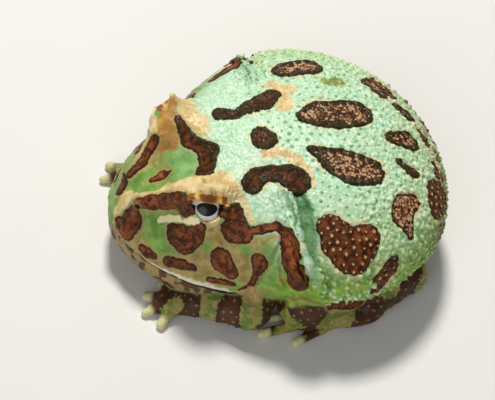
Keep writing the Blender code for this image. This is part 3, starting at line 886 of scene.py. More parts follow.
ORANGE_PATCHES = {
    "orange": [(38.8, -10.1, 26.4, 0.9), (39.7, -10, 23.2, 0.8)],
    "lid_r": [
        (-7.1, -31, 37, 2.4), (-14.7, -30.8, 40.8, 2.2), (-7, -33.6, 34.5, 1.5), (-12.6, -31.9, 40, 2.3),
        (-16.7, -29, 42.7, 1.6),
    ],
    "dome_spot": [(11.9, -27.4, 40.9, 0.75), (13.7, -27.3, 41.3, 0.75)],
}
SPOTTED_MARKS = {
    "big_r": [
        (-1.6, 7.2, 46.4, 3.2), (-1.7, 11.5, 46.5, 5.3), (-1.1, 23.1, 45.4, 5.1), (-0.6, 16.4, 46.3, 5.7),
    ],
    "big_l": [
        (10.4, 4.9, 45.6, 1.4), (15.8, 11.1, 45.1, 4.7), (18.4, 15, 44.4, 5.6), (19.9, 20, 43.5, 4.6),
    ],
    "flank_r": [(-23.7, 8, 43.1, 4), (-24.4, 15.7, 42.7, 4.9)],
    "edge_r1": [(-16, 33.5, 40.6, 3.2), (-11.3, 35.5, 40.6, 2.5)],
    "edge_r2": [(-6.9, 38.9, 39.4, 1.5), (-3.9, 41.5, 38.1, 2.5), (-3.1, 43, 37.1, 1.9)],
    "small_1": [(8.1, 31.3, 42.7, 2.3), (8, 37, 40.3, 3.9), (8.9, 38.9, 39.1, 2.1)],
    "small_2": [(16.4, 30.7, 41.6, 1.3), (19.2, 34.1, 39.4, 1.8), (19.3, 35.2, 38.8, 1.7)],
    "rear_2_crumbs": [
        (28.3, 31.5, 37, 2.8), (30, 28.1, 37.7, 3.8), (32, 27.4, 36.9, 4.3), (36.5, 28.7, 32.9, 1.7),
    ],
}
WARTY_MARKS = {
    "rear_1": [(23, 43.9, 30.4, 5.4), (22.9, 41.7, 32.9, 4.1), (25.9, 41.7, 31, 4.8)],
    "rear_2": [
        (28.3, 31.5, 37, 2.8), (30, 28.1, 37.7, 3.8), (32, 27.4, 36.9, 4.3), (36.5, 28.7, 32.9, 1.7),
    ],
    "heart": [
        (33.9, 4.1, 38.4, 4.1), (37.3, 5.9, 36.5, 5.4), (39.5, 9.1, 35.1, 6.7), (38.2, 13.6, 36.1, 4.6),
        (40.5, 9.7, 34.2, 6.5), (40, 10.8, 34.8, 5.8),
    ],
    "rear_3": [
        (46, 16.9, 21.5, 2), (45.5, 17.8, 25.4, 2.8), (43.6, 21.1, 28.4, 2.9), (42.2, 22.3, 30, 1.5),
    ],
    "right_flank_1": [(-43.5, 6, 27, 5), (-44.5, 11, 23, 5.5)],
    "right_flank_2": [(-41.5, 22, 27, 4.5), (-40, 27, 23, 4)],
    "right_flank_3": [(-36, 37, 19, 4), (-33.5, 39.5, 20, 3.4)],
    "right_rear": [(-27, 44, 24, 4.2), (-21, 47, 20, 3.4)],
    "rump_mark": [(0, 51, 22, 4), (6, 51, 18, 3.4)],
    "left_rear": [(26, 45, 16, 3.6), (32, 41, 14, 3)],
    "edge_w1": [(-19, 36.8, 37.8, 2.2), (-15.2, 38.4, 38, 2.8), (-11.9, 39.6, 38, 1.9)],
    "edge_w3": [(1.8, 44.2, 36.3, 1.4), (5.5, 44.9, 35.2, 1.8)],
    "edge_w4": [(12.9, 45.1, 33.9, 1.4), (16, 45, 33, 1.8)],
}
YELLOW_PATCHES = {
    "yellow": [(-15.4, 17.9, 44.8, 1.2), (-15, 22, 44.3, 2.1)],
    "arm_yellow": [(39.7, -5.3, 14.4, 1.8), (42, -3.7, 17.3, 3.2)],
}
PALE_PATCHES = {
    "cheek_strip": [
        (12.1, -38.7, 25, 0.7), (12.3, -38.3, 26, 0.8), (13.4, -36.3, 27.2, 0.9), (15.6, -33.9, 29.1, 1),
        (21.5, -32.8, 35, 1.1), (22.4, -31.8, 35.6, 1),
    ],
    "lid_low_r": [(-20.5, -33.2, 35.8, 1.3), (-19.4, -33.6, 37.6, 1.3), (-17.2, -34, 39, 1)],
}

FAR = 20.0
MARK_REACH = 5.0


def mark_distance(p, marks, blend=0.8):
    """How far each point lies outside the nearest of the marks; below zero inside it."""
    field = np.full(len(p), FAR)
    for circles in marks.values():
        points, radii = np.split(np.array(circles), [3], axis=1)
        low = (points - radii).min(axis=0) - MARK_REACH
        high = (points + radii).max(axis=0) + MARK_REACH
        near = ((p > low) & (p < high)).all(axis=1)
        piece = chain(p[near], [*points], radii[:, 0], blend)
        field[near] = np.minimum(field[near], piece)
    return field


def wobbled(p, amount, scale, salt):
    """Points shifted by noise, which makes the edges of markings uneven."""
    shift = [noise(p, scale, salt + 11 * n) for n in range(3)]
    return p + amount * np.stack(shift, axis=1)


def marks_on(points):
    """How far each point lies outside each family of markings."""
    warped = in_chunks(lambda q: wobbled(q, 0.3, 1.5, 5), points)
    on_face = ramp(points[:, 1] - NECK_LEAN * points[:, 2], -12, -22)[:, None]
    warped += 0.6 * on_face * (points - warped)
    soft = in_chunks(lambda q: wobbled(q, 0.5, 2.2, 9), points)
    families = {}
    for name, marks, q in (
        ("dark", DARK_MARKS, warped),
        ("spotted", SPOTTED_MARKS, warped),
        ("warty", WARTY_MARKS, warped),
        ("tan", TAN_PATCHES, soft),
        ("muted", MUTED_PATCHES, soft),
        ("orange", ORANGE_PATCHES, soft),
        ("yellow", YELLOW_PATCHES, soft),
        ("pale", PALE_PATCHES, points),
    ):
        families[name] = in_chunks(lambda r, marks=marks: mark_distance(r, marks), q)
    return families


# Studs: small cones of skin set on the surface

MOST_DARTS = 60000


def scattered(points, choice, spacing, seed):
    """Chosen points picked at random, none of them nearer to another than the spacing."""
    rng = np.random.default_rng(seed)
    order = rng.permutation(np.flatnonzero(choice))[:MOST_DARTS]
    keys = np.floor(points[order] / spacing).astype(int).tolist()
    taken = {}
    kept = []
    for place, key, number in zip(points[order].tolist(), keys, order):
        around = []
        for x, y, z in product((-1, 0, 1), repeat=3):
            around += taken.get((key[0] + x, key[1] + y, key[2] + z), [])
        if all(sum((u - v) ** 2 for u, v in zip(place, other)) > spacing**2 for other in around):
            taken.setdefault(tuple(key), []).append(place)
            kept.append(number)
    return points[kept]


def along_line(line, spacing, seed):
    """Places spaced a little unevenly along a line."""
    steps = np.linalg.norm(np.diff(line, axis=0), axis=1)
    reach = np.concatenate([[0], np.cumsum(steps)])
    rng = np.random.default_rng(seed)
    count = int(reach[-1] / spacing)
    at = (np.arange(count) + rng.uniform(0.25, 0.75, count)) * spacing
    return np.stack([np.interp(at, reach, line[:, n]) for n in range(3)], axis=1)


class Studs:
    """Raises studs on the skin and remembers how near each point is to the tip of one."""

    def __init__(self, points, normals):
        self.normals = normals
        self.moves = np.zeros_like(points)
        self.tree = KDTree(len(points))
        for number, place in enumerate(points.tolist()):
            self.tree.insert(place, number)
        self.tree.balance()

    def add(self, places, radius, height, seed, sharp=1.0, lean=0.0):
        """Studs of about that radius and height, leaning down by lean. Gives each point's share of one."""
        rng = np.random.default_rng(seed)
        share = np.zeros(len(self.moves))
        for place, (wide, tall) in zip(places, rng.uniform(0.7, 1.3, (len(places), 2))):
            reach = radius * wide
            found = self.tree.find_range(place, reach)
            if not found:
                continue
            index = np.array([number for _, number, _ in found])
            away = np.array([distance for _, _, distance in found])
            form = (1 - (away / reach) ** 2) ** sharp
            way = self.normals[index[away.argmin()]] + np.array((0, 0, -lean))
            way = way / np.linalg.norm(way)
            self.moves[index] += (height * tall * form)[:, None] * way
            share[index] = np.maximum(share[index], form)
        return share


# Edges of loose skin on the left flank that carry rows of pale cones
CAPE_EDGE = (
    (33.4, -4.9, 37.6), (35.4, -5.0, 36.5), (36.8, -4.6, 35.4), (38.4, -4.4, 33.7), (40.2, -3.8, 32.2),
    (41.8, -2.4, 30.0), (43.3, -1.4, 28.3), (44.5, -0.4, 25.5),
)
FLANK_EDGE = (
    (44.5, -0.4, 25.5), (44.4, 3.3, 23.3), (45.8, 5.2, 22.3), (46.0, 7.0, 21.4), (46.0, 9.2, 22.1),
    (46.0, 11.5, 23.0), (46.0, 13.8, 24.0), (45.6, 16.2, 25.1),
)


def pale_cones(studs):
    """Rows of cones along the cape, the edge of the flank and just below it, on both sides."""
    share = 0
    for side in (1, -1):
        cape = settled(on_flank(CAPE_EDGE, side))[0]
        edge = settled(on_flank(FLANK_EDGE, side))[0]
        below = edge + np.array((-0.3 * side, 0.5, -2.2))
        for line, spacing, radius, height, seed, sharp, lean in (
            (cape[:4], 1.3, 0.8, 0.8, 11, 1.2, 0.3),
            (cape[3:], 1.5, 1.1, 1.3, 17, 1.3, 0.5),
            (edge, 1.9, 1.0, 1.3, 13, 1.2, 0.8),
            (below, 2.2, 0.8, 0.9, 15, 1.3, 0.8),
        ):
            places = along_line(line, spacing, seed)
            share = share + studs.add(places, radius, height, seed + 1, sharp, lean)
    return np.minimum(share, 1)


# Regions of the body, told by place

NECK_LEAN = 0.22
FURROW_SHADE = 1.8
ARM_BAND_AT = 5.2
ARM_BAND_STEP = 11.5
LEG_BAND_STEP = 17.0
NAIL_HEIGHT = 1.2
NOWHERE = 9.0


def mirrored(points):
    """Points of the right half moved to the same place in the left half."""
    return np.abs(points * (1, 0, 0)) + points * (0, 1, 1)


def furrow_shade_share(points):
    """How far into the furrow behind each arm each point lies, from 0 to 1: where shade is painted into the
    furrow.
    """
    table = np.array(GROOVES[1])
    nearest = chain(mirrored(points), table[:, :3], table[:, 3], 1.0)
    return ramp(nearest, FURROW_SHADE, 0) * np.where(points[:, 0] > 0, 1.0, 0.3)


def limb_bands(points):
    """A wave along each limb: above zero in its brown bands."""
    x, y, _ = points.T
    elbow = np.array(ELBOW[:2])
    ahead = np.array(WRIST[:2]) - elbow
    ahead = ahead / np.linalg.norm(ahead)
    along_arm = (np.abs(x) - elbow[0]) * ahead[0] + (y - elbow[1]) * ahead[1]
    arm = np.cos(2 * np.pi * (along_arm - ARM_BAND_AT) / ARM_BAND_STEP)
    leg = np.cos(2 * np.pi * y / LEG_BAND_STEP)
    wave = np.where(y < -6 - 0.3 * (np.abs(x) - 36), arm, leg)
    return wave + 1.3 * in_chunks(lambda q: noise(q, 6.0, 120), points)


def lid_places(points):
    """How far above the edge of its upper lid, and how far back along it, each point near an eye lies."""
    above = np.full(len(points), NOWHERE)
    along = np.zeros(len(points))
    for side in (1, -1):
        back, up, out = eye_view(points, side)
        over = above_lid(up, back)
        near = (np.abs(back) < 8.5) & (out > 1) & (over > -1) & (over < 6) & (points[:, 0] * side > 0)
        above[near] = over[near]
        along[near] = back[near]
    return above, along


def regions(points):
    """Where on the body each point lies, as shares from 0 to 1 and lengths in millimetres."""
    x, y, z = points.T
    depth = in_chunks(trunk, points)
    back = ramp(y - NECK_LEAN * z, -22, -12) * ramp(z, 12, 22)
    back = np.maximum(back, ramp(z, 33, 39) * ramp(y, -28, -20))
    limb = ramp(depth, 0.2, 1.0) * ramp(z, 27, 22)
    on_head = (y < -9 + NECK_LEAN * z) & (depth < 0.5)
    over_lip = z - mouth_height(points)
    lip = np.where(on_head, over_lip + NOWHERE * ramp(y, -20, -15), NOWHERE)
    width = (0.9 + 1.3 * ramp(y, -45, -31)) * (1 - 0.85 * ramp(y, -25, -17))
    striped = on_head & (over_lip > -0.3)
    stripe = np.where(striped, over_lip / width + NOWHERE * ramp(y, -20, -15), NOWHERE)
    lid, lid_back = lid_places(points)
    left = mirrored(points)
    tips = [(*tip, NAIL_HEIGHT) for tip in FINGER_TIPS + TOE_TIPS]
    nails = np.min([np.linalg.norm(left - tip, axis=1) for tip in tips], axis=0)
    return {
        "back": back * (1 - limb),
        "limb": limb,
        "lip": lip,
        "stripe": stripe,
        "lid": lid,
        "lid_back": lid_back,
        "under": ramp(z, 9, 4) * (1 - limb),
        "throat": ramp(over_lip, -0.3, -0.8) * on_head * (1 - limb) * ramp(y, -13, -19),
        "nose": np.linalg.norm(left - NOSTRIL_HOLE, axis=1),
        "crown": 0.75 * ramp(z, 31, 37),
        "mid": ramp(z, 44, 36) * ramp(y, -4, 6) * (1 - 0.25 * ramp(y, 18, 30)),
        # Low on the body, where the green darkens partly as painted shade
        "low": ramp(z, 36, 24),
        # Share of painted shade in the furrow behind each arm, weaker on the right
        "furrow": in_chunks(furrow_shade_share, points),
        "rump": ramp(y, 34, 44) * ramp(z, 38, 32) * ramp(z, 8, 16),
        "nail": ramp(nails, 3.4, 1.6),
        "shoulder": ramp(z, 38.5, 36.5) * ramp(y, 0, -3),
    }


def traits_of(points):
    """Where each point lies on the body and in the markings."""
    x, y, _ = points.T
    traits = regions(points) | marks_on(points)
    traits["in_spots"] = ramp(traits["spotted"], 0.2, -0.4)
    traits["in_warts"] = ramp(traits["warty"], 0.2, -0.4)
    traits["dark"] = np.minimum(np.minimum(traits["dark"], traits["spotted"]), traits["warty"])
    brow = ramp(np.abs(x), 12.5, 9.5) * ramp(y, -45, -40)
    off_back = ramp(traits["back"], 0.6, 0.2) * (1 - 0.8 * brow)
    traits["lively"] = np.maximum(0.6 * traits["in_warts"], np.maximum(off_back, traits["shoulder"]))
    traits["bands"] = limb_bands(points)
    return traits


# Relief of the skin: heights in millimetres

GRAIN_SIZES = (1.05, 0.4, 0.62)
PLEAT_SIZES = (1.0, 0.42, 0.62)
PLEAT_SQUEEZE = (0.6, 1.5, 1.0)
GRAIN_HEIGHT = 0.16
PLEAT_HEIGHT = 0.34
RIM_HEIGHT = 0.30
LIP_HEIGHT = 0.30
MOUTH_DEPTH = 0.75
LID_CREASE = 0.25


def ridge(value, at, width):
    """1 where a value is at that number, falling off smoothly on both sides of it."""
    return np.exp(-(((value - at) / width) ** 2))


def relief(points, traits):
    """How far the skin rises at each point. It also adds the grains and pleats to the traits."""
    _, y, z = points.T
    back, dark, lip, lid = (traits[name] for name in ("back", "dark", "lip", "lid"))
    neck = ramp(y, 10, -2) * ramp(z, 36, 41) * back
    grains = in_chunks(lambda q: granules(q, *GRAIN_SIZES, 3), points)
    pleats = in_chunks(lambda q: granules(q * PLEAT_SQUEEZE, *PLEAT_SIZES, 70), points)
    height = GRAIN_HEIGHT * grains * (0.25 + 0.75 * back)
    height += PLEAT_HEIGHT * pleats * neck
    height += 0.12 * in_chunks(lambda q: noise(q, 2.4, 60), points)
    height += 0.16 * in_chunks(lambda q: noise(q, 4.5, 90), points) * (1 - back)
    height += RIM_HEIGHT * ridge(dark, -0.8, 0.5) * (1 - traits["in_warts"]) * back
    height += 0.12 * ridge(dark, -0.8, 0.5) * (1 - back)
    height -= 0.16 * ridge(dark, 0, 0.25)
    height += LIP_HEIGHT * ridge(lip, 1.2, 0.8)
    height -= MOUTH_DEPTH * ridge(lip, -0.2, 0.5)
    height += 0.22 * ridge(traits["nose"], 1.6, 0.45)
    height += LID_CREASE * ridge(lid, 0.5, 0.5)
    top = lid - LID_BAND_HEIGHT + LID_BAND_BOW * (traits["lid_back"] - LID_BAND_MIDDLE) ** 2
    height -= LID_CREASE * ridge(top, 0, 0.35) * (lid < 6)
    traits["pleat"] = pleats * neck
    traits["grain"] = grains
    return height


# Scattered studs as name: (spacing, radius, height, seed, sharpness)
STUDS = {
    "dot": (2.3, 0.62, 0.28, 21, 1.0),
    "wart": (2.5, 1.05, 0.52, 31, 1.1),
    "small_wart": (1.3, 0.6, 0.26, 33, 1.0),
    "bead": (2.0, 0.8, 0.6, 41, 1.4),
    "lump": (2.5, 1.35, 0.35, 81, 0.6),
    "pimple": (3.4, 0.6, 0.2, 61, 1.0),
    "limb_pimple": (2.2, 0.7, 0.28, 71, 1.0),
}


def raised_studs(points, normal, traits):
    """How studs move each point. It also adds each kind's shares to the traits."""
    _, y, z = points.T
    back, dark, limb, warty = (traits[name] for name in ("back", "dark", "limb", "warty"))
    clear = dark > 0.5
    behind = ramp(y, 2, 26) * back
    flank = ramp(z, 40, 30) * back * ramp(y, -4, 4)
    warted = (np.maximum(behind, flank) > 0.5) & clear & (z > 15)
    grows = {
        "dot": (back > 0.6) & clear & (z > 37) & (y > -6) & (normal[:, 2] > 0.5),
        "wart": warted,
        "small_wart": warted,
        "bead": warty < -0.5,
        "lump": (dark < -0.7) & (dark > -1.6) & (back > 0.6) & (warty > 1) & (traits["shoulder"] < 0.3),
        "pimple": (back < 0.4) & (limb < 0.5) & (z > 12) & (traits["lid"] > 3),
        "limb_pimple": (limb > 0.6) & (z > 2.5) & (y < 40),
    }
    studs = Studs(points, normal)
    for name, (spacing, radius, height, seed, sharp) in STUDS.items():
        places = scattered(points, grows[name], spacing, seed)
        traits[name] = studs.add(places, radius, height, seed + 1, sharp)
    traits["wart"] = np.maximum(traits["wart"], 0.85 * traits.pop("small_wart"))
    traits["pimple"] = np.maximum(traits["pimple"], traits.pop("limb_pimple"))
    traits["cone"] = pale_cones(studs)
    return studs.moves


def make_skin():
    points, quads = skin_net((-49, -54, -2), (49, 56, 49))
    points, quads = largest_body(points, quads)
    points, normal = settled(points)
    points, quads = split_quads(points, quads)
    points, normal = settled(points, 1)
    traits = traits_of(points)
    height = relief(points, traits)
    moves = raised_studs(points, normal, traits)
    calm = ramp(points[:, 2], 0.1, 1.2)[:, None]
    points = points + calm * (height[:, None] * normal + moves)
    points[:, 2] = np.maximum(points[:, 2], 0)
    obj = mesh_object("skin", points, quads)
    for name, values in traits.items():
        store(obj, name, values)
    print("skin has", len(points), "points")
    return obj


# Materials


def linear(r, g, b):
    """A colour seen on a screen, from 0 to 255, as the shader's numbers."""
    c = np.array((r, g, b)) / 255
    return (*np.where(c <= 0.04045, c / 12.92, ((c + 0.055) / 1.055) ** 2.4), 1.0)


class Nodes:
    """Builds one material. A value is a number, a screen colour (r, g, b), a node's output, or the name of
    a number that is stored on the mesh."""

    def __init__(self, name):
        self.material = bpy.data.materials.new(name)
        self.material.use_nodes = True
        self.tree = self.material.node_tree
        self.shader = self.tree.nodes["Principled BSDF"]

    def set(self, node, name, value):
        if isinstance(value, str):
            stored = self.tree.nodes.new("ShaderNodeAttribute")
            stored.attribute_name = value
            value = stored.outputs["Fac"]
        if isinstance(value, bpy.types.NodeSocket):
            self.tree.links.new(value, node.inputs[name])
        elif isinstance(value, tuple):
            node.inputs[name].default_value = linear(*value)
        else:
            node.inputs[name].default_value = value

    def add(self, kind, *values, **inputs):
        node = self.tree.nodes.new("ShaderNode" + kind)
        for n, value in enumerate(values):
            self.set(node, n, value)
        for name, value in inputs.items():
            self.set(node, name.replace("_", " "), value)
        return node

    def maths(self, operation, *values):
        node = self.add("Math", *values)
        node.operation = operation
        return node.outputs[0]

    def plus(self, a, b):
        return self.maths("ADD", a, b)

    def minus(self, a, b):
        return self.maths("SUBTRACT", a, b)

    def times(self, a, b):
        return self.maths("MULTIPLY", a, b)

    def size(self, value):
        return self.maths("ABSOLUTE", value)

    def ramp(self, value, low, high, to_low=0.0, to_high=1.0):
        node = self.add("MapRange", value, low, high, to_low, to_high)
        node.interpolation_type = "SMOOTHSTEP"
        return node.outputs[0]

    def uneven(self, value, pattern, amount, low=0.2, high=0.8):
        """A value that a pattern shifts up and down by an amount."""
        return self.plus(value, self.ramp(pattern, low, high, -amount, amount))

    def mix(self, factor, a, b):
        node = self.add("Mix", factor)
        node.data_type = "RGBA"
        self.set(node, 6, a)
        self.set(node, 7, b)
        return node.outputs[2]

    def shade(self, pattern, low, high, a, b):
        """Colour a where a pattern is low and b where it is high."""
        return self.mix(self.ramp(pattern, low, high), a, b)

    def place(self):
        """Places on the object in millimetres."""
        node = self.add("VectorMath", self.add("TexCoord").outputs["Object"])
        node.operation = "SCALE"
        self.set(node, "Scale", 1 / MM)
        return node.outputs[0]

    def noise(self, place, size, detail=2.0, roughness=0.5):
        node = self.add("TexNoise", Vector=place, Scale=1.0 / size, Detail=detail, Roughness=roughness)
        return node.outputs["Fac"]

    def cells(self, place, size):
        return self.add("TexVoronoi", Vector=place, Scale=1.0 / size).outputs["Distance"]

    def surface(self, **inputs):
        for name, value in inputs.items():
            self.set(self.shader, name.replace("_", " "), value)
        return self.material


class SkinNodes(Nodes):
    """The skin's material with its patterns, from broad to fine."""

    def __init__(self, name):
        super().__init__(name)
        self.at = self.place()
        self.broad = self.noise(self.at, 9.0, 3.0)
        self.mottle = self.noise(self.at, 3.0, 2.0)
        self.curds = self.noise(self.at, 1.7, 2.0)
        self.fine = self.noise(self.at, 1.0, 3.0)
        self.grit = self.noise(self.at, 0.5, 2.0)


def back_colour(n):
    """Mint with pale grains, yellower half way down, green below with painted shade mixed in, with dots,
    warts and painted shade in the furrow.
    """
    mint = n.shade(n.mottle, 0.35, 0.65, (184, 222, 184), (210, 237, 206))
    mint = n.mix(n.ramp("grain", 0.0, 0.15, 0.35, 0.0), mint, (136, 188, 140))
    mint = n.mix(n.ramp("grain", 0.1, 0.7, 0.0, 0.5), mint, (226, 242, 220))
    mint = n.mix(n.ramp("pleat", 0.1, 0.6, 0.0, 0.7), mint, (228, 242, 224))
    sunny = n.shade(n.mottle, 0.35, 0.65, (176, 208, 138), (218, 232, 178))
    sunny = n.mix(n.ramp("grain", 0.0, 0.15, 0.5, 0.0), sunny, (112, 160, 84))
    mint = n.mix(n.times("mid", 0.75), mint, sunny)
    # Greener low on the flanks, and darker there partly as painted shade for the flanks turned from the light
    low_green_and_shade = n.shade(n.mottle, 0.35, 0.65, (102, 146, 44), (144, 178, 66))
    mint = n.mix("low", mint, low_green_and_shade)
    mint = n.mix(n.ramp("dot", 0.08, 0.6, 0.0, 0.75), mint, (96, 152, 98))
    mint = n.mix(n.ramp("wart", 0.45, 0.95, 0.0, 0.7), mint, (220, 228, 176))
    # Painted shade: the furrow behind the arm darkened to a dark green
    furrow_shade_colour = n.shade(n.mottle, 0.35, 0.65, (62, 118, 62), (96, 150, 84))
    return n.mix(n.times("furrow", 0.85), mint, furrow_shade_colour)


def face_colour(n):
    green = n.shade(n.mottle, 0.3, 0.7, (100, 140, 58), (138, 170, 86))
    olive = n.shade(n.fine, 0.3, 0.7, (134, 122, 56), (160, 148, 82))
    green = n.mix(n.ramp(n.broad, 0.50, 0.66, 0.0, 0.7), green, olive)
    crown = n.shade(n.mottle, 0.3, 0.7, (116, 168, 98), (150, 198, 132))
    return n.mix("crown", green, crown)


def limb_colour(n):
    """Olive with brown bands, pale pimples and paler nails."""
    bands = n.uneven("bands", n.fine, 0.25)
    limb = n.shade(n.mottle, 0.42, 0.55, (98, 122, 50), (150, 140, 74))
    limb = n.mix(n.ramp(bands, -0.25, 0.0), limb, (66, 36, 16))
    limb = n.mix(n.ramp(bands, 0.5, 1.2, 0.0, 0.5), limb, (98, 56, 28))
    limb = n.mix(n.ramp("pimple", 0.5, 0.9, 0.0, 0.4), limb, (186, 166, 100))
    return n.mix("nail", limb, (210, 204, 150))


def body_colour(n):
    """Face, back, limbs, belly and throat, each in its place; the throat is beige and brown of its own, kept
    darker as painted shade under the lip.
    """
    base = n.mix("back", face_colour(n), back_colour(n))
    base = n.mix("limb", base, limb_colour(n))
    base = n.mix("under", base, n.shade(n.mottle, 0.55, 0.65, (222, 210, 160), (140, 108, 64)))
    # Throat under the lip: its own beige and brown, darkened as painted shade
    return n.mix("throat", base, n.shade(n.mottle, 0.45, 0.6, (164, 140, 90), (88, 62, 34)))


def with_patches(n, base):
    """Soft patches of sand, cream, rust and moss, and a brown rump."""
    sandy = n.shade(n.mottle, 0.35, 0.65, (150, 120, 64), (188, 158, 98))
    base = n.mix(n.ramp(n.uneven("muted", n.fine, 0.5), 0.9, -0.7, 0.0, 0.9), base, sandy)
    crumbly = n.times(n.ramp(n.grit, 0.25, 0.75, -1.0, 1.0), n.ramp("back", 0.0, 1.0, 0.25, 1.1))
    cream = n.shade(n.mottle, 0.3, 0.7, (204, 174, 114), (234, 214, 160))
    sand = n.times(n.ramp(n.fine, 0.45, 0.7), n.ramp("back", 0.2, 0.9, 0.25, 0.8))
    cream = n.mix(sand, cream, (206, 166, 106))
    base = n.mix(n.ramp(n.plus("tan", crumbly), 0.5, -0.5), base, cream)
    rust = n.shade(n.mottle, 0.3, 0.7, (164, 114, 44), (196, 156, 84))
    base = n.mix(n.ramp(n.uneven("orange", n.fine, 0.4), 0.5, -0.5), base, rust)
    mossy = n.shade(n.mottle, 0.35, 0.65, (118, 120, 46), (166, 176, 88))
    base = n.mix(n.ramp("yellow", 1.0, -0.3), base, mossy)
    return n.mix(n.times("rump", n.ramp(n.mottle, 0.46, 0.58)), base, (112, 70, 36))


def blotch_inside(n):
    """Brown, livelier on the face, with crumbs in the spotted marks and beads in the warty ones."""
    brown = n.shade(n.curds, 0.35, 0.65, (50, 26, 10), (98, 52, 20))
    bright = n.shade(n.curds, 0.35, 0.65, (64, 30, 14), (118, 64, 32))
    flecks = n.times(n.ramp(n.cells(n.at, 0.9), 0.42, 0.25), n.ramp(n.mottle, 0.4, 0.6, 0.0, 0.4))
    bright = n.mix(flecks, bright, (158, 100, 62))
    ruddy = n.shade(n.curds, 0.38, 0.62, (74, 34, 16), (164, 90, 42))
    bright = n.mix(n.ramp(n.broad, 0.42, 0.6, 0.0, 0.75), bright, ruddy)
    brown = n.mix("lively", brown, bright)
    brown = n.mix(n.ramp(n.grit, 0.5, 0.75, 0.0, 0.6), brown, (44, 24, 10))
    crumbs = n.ramp(n.plus(n.cells(n.at, 0.8), n.ramp(n.curds, 0.3, 0.7, 0.2, -0.15)), 0.6, 0.36)
    crumbs = n.times(n.times("in_spots", crumbs), n.ramp("dark", -0.6, -1.4, 0.0, 0.8))
    crumbs = n.times(crumbs, n.ramp(n.mottle, 0.34, 0.5, 0.35, 1.0))
    brown = n.mix(crumbs, brown, (208, 170, 128))
    beads = n.times("in_warts", n.ramp("bead", 0.45, 0.9, 0.0, 0.8))
    return n.mix(beads, brown, (212, 178, 122))


def with_blotches(n, base):
    """Dark blotches with a pale surround, a scalloped rim and a browner middle, and the pale marks."""
    rimmed = n.uneven("dark", n.fine, 0.2, 0.25, 0.75)
    halo = n.times(n.ramp(rimmed, 1.1, 0.3), n.ramp("back", 0.5, 0.0, 0.0, 0.55))
    base = n.mix(halo, base, (178, 150, 94))
    fringe = n.times(n.ramp(n.uneven("dark", n.fine, 0.5, 0.3, 0.7), 1.4, 0.4), "back")
    base = n.mix(n.times(fringe, n.ramp(n.broad, 0.45, 0.58, 0.0, 0.7)), base, (226, 206, 156))
    rim = n.shade(n.fine, 0.3, 0.7, (34, 30, 12), (66, 58, 28))
    rim = n.mix("lively", rim, n.shade(n.fine, 0.3, 0.7, (36, 20, 12), (74, 46, 30)))
    slim = n.maths("MULTIPLY_ADD", "lively", 0.7, 1.0)
    scallops = n.uneven(n.times(rimmed, slim), n.curds, 0.5, 0.3, 0.7)
    in_rim = n.maths("MAXIMUM", n.ramp(scallops, -1.3, -0.4), n.ramp("lump", 0.35, 0.5))
    blotch = n.mix(in_rim, blotch_inside(n), rim)
    base = n.mix(n.ramp(rimmed, 0.14, -0.14), base, blotch)
    return n.mix(n.ramp(n.uneven("pale", n.fine, 0.2), 0.3, -0.2), base, (246, 236, 180))


# Band along the edge of the upper lid, and its brown marks as (middle, half length)
LID_BAND_HEIGHT = 3.0
LID_BAND_BOW = 0.03
LID_BAND_MIDDLE = 1.5
LID_MARKS = ((-4.4, 1.0), (0.3, 2.3), (4.9, 0.6))


def with_lid_band(n, base):
    """An orange band along the upper lid, with rounded brown marks."""
    off_middle = n.minus("lid_back", LID_BAND_MIDDLE)
    top = n.minus(LID_BAND_HEIGHT, n.times(n.times(off_middle, off_middle), LID_BAND_BOW))
    share = n.maths("DIVIDE", n.uneven("lid", n.fine, 0.25), top)
    tall = n.maths("POWER", n.maths("DIVIDE", n.size(n.minus(share, 0.52)), 0.44), 2.6)
    band_colour = n.shade(n.mottle, 0.3, 0.7, (206, 152, 62), (224, 188, 112))
    brown = n.shade(n.fine, 0.35, 0.65, (150, 84, 30), (120, 62, 20))
    for middle, half in LID_MARKS:
        away = n.size(n.minus("lid_back", middle))
        wide = n.maths("POWER", n.maths("DIVIDE", away, half + 0.2), 2.6)
        outside = n.uneven(n.plus(wide, tall), n.fine, 0.5)
        band_colour = n.mix(n.ramp(outside, 1.5, 0.4), band_colour, brown)
    band = n.times(n.ramp(share, 1.12, 0.88), n.ramp("lid", -0.6, -0.3))
    ends = n.ramp(n.size(n.minus("lid_back", 0.4)), 6.3, 5.2)
    return n.mix(n.times(band, ends), base, band_colour)


def with_lips(n, base):
    """The white lip, painted shade along the gap of the mouth, the nostrils with painted shade in their
    holes, and the pale cones of the flank.
    """
    stripe = n.uneven(n.uneven("stripe", n.mottle, 0.2, 0.3, 0.7), n.fine, 0.1)
    white = n.times(n.ramp(stripe, 1.15, 0.8), n.ramp("lip", 0.0, 0.25))
    base = n.mix(white, base, n.shade(n.mottle, 0.3, 0.7, (222, 212, 176), (236, 232, 214)))
    # Painted shade: near-black along the gap of the mouth, under the overhanging upper lip
    mouth = n.times(n.ramp("lip", -1.9, -1.3), n.ramp("lip", 0.2, -0.05))
    base = n.mix(mouth, base, (26, 18, 12))
    base = n.mix(n.ramp("nose", 1.9, 1.4, 0.0, 0.7), base, (142, 120, 80))
    # Painted shade: the nostril's hole filled with near-black
    base = n.mix(n.ramp("nose", 1.1, 0.8), base, (22, 16, 10))
    cones = n.shade("cone", 0.45, 0.95, (134, 182, 112), (222, 230, 186))
    return n.mix(n.ramp("cone", 0.15, 0.4), base, cones)


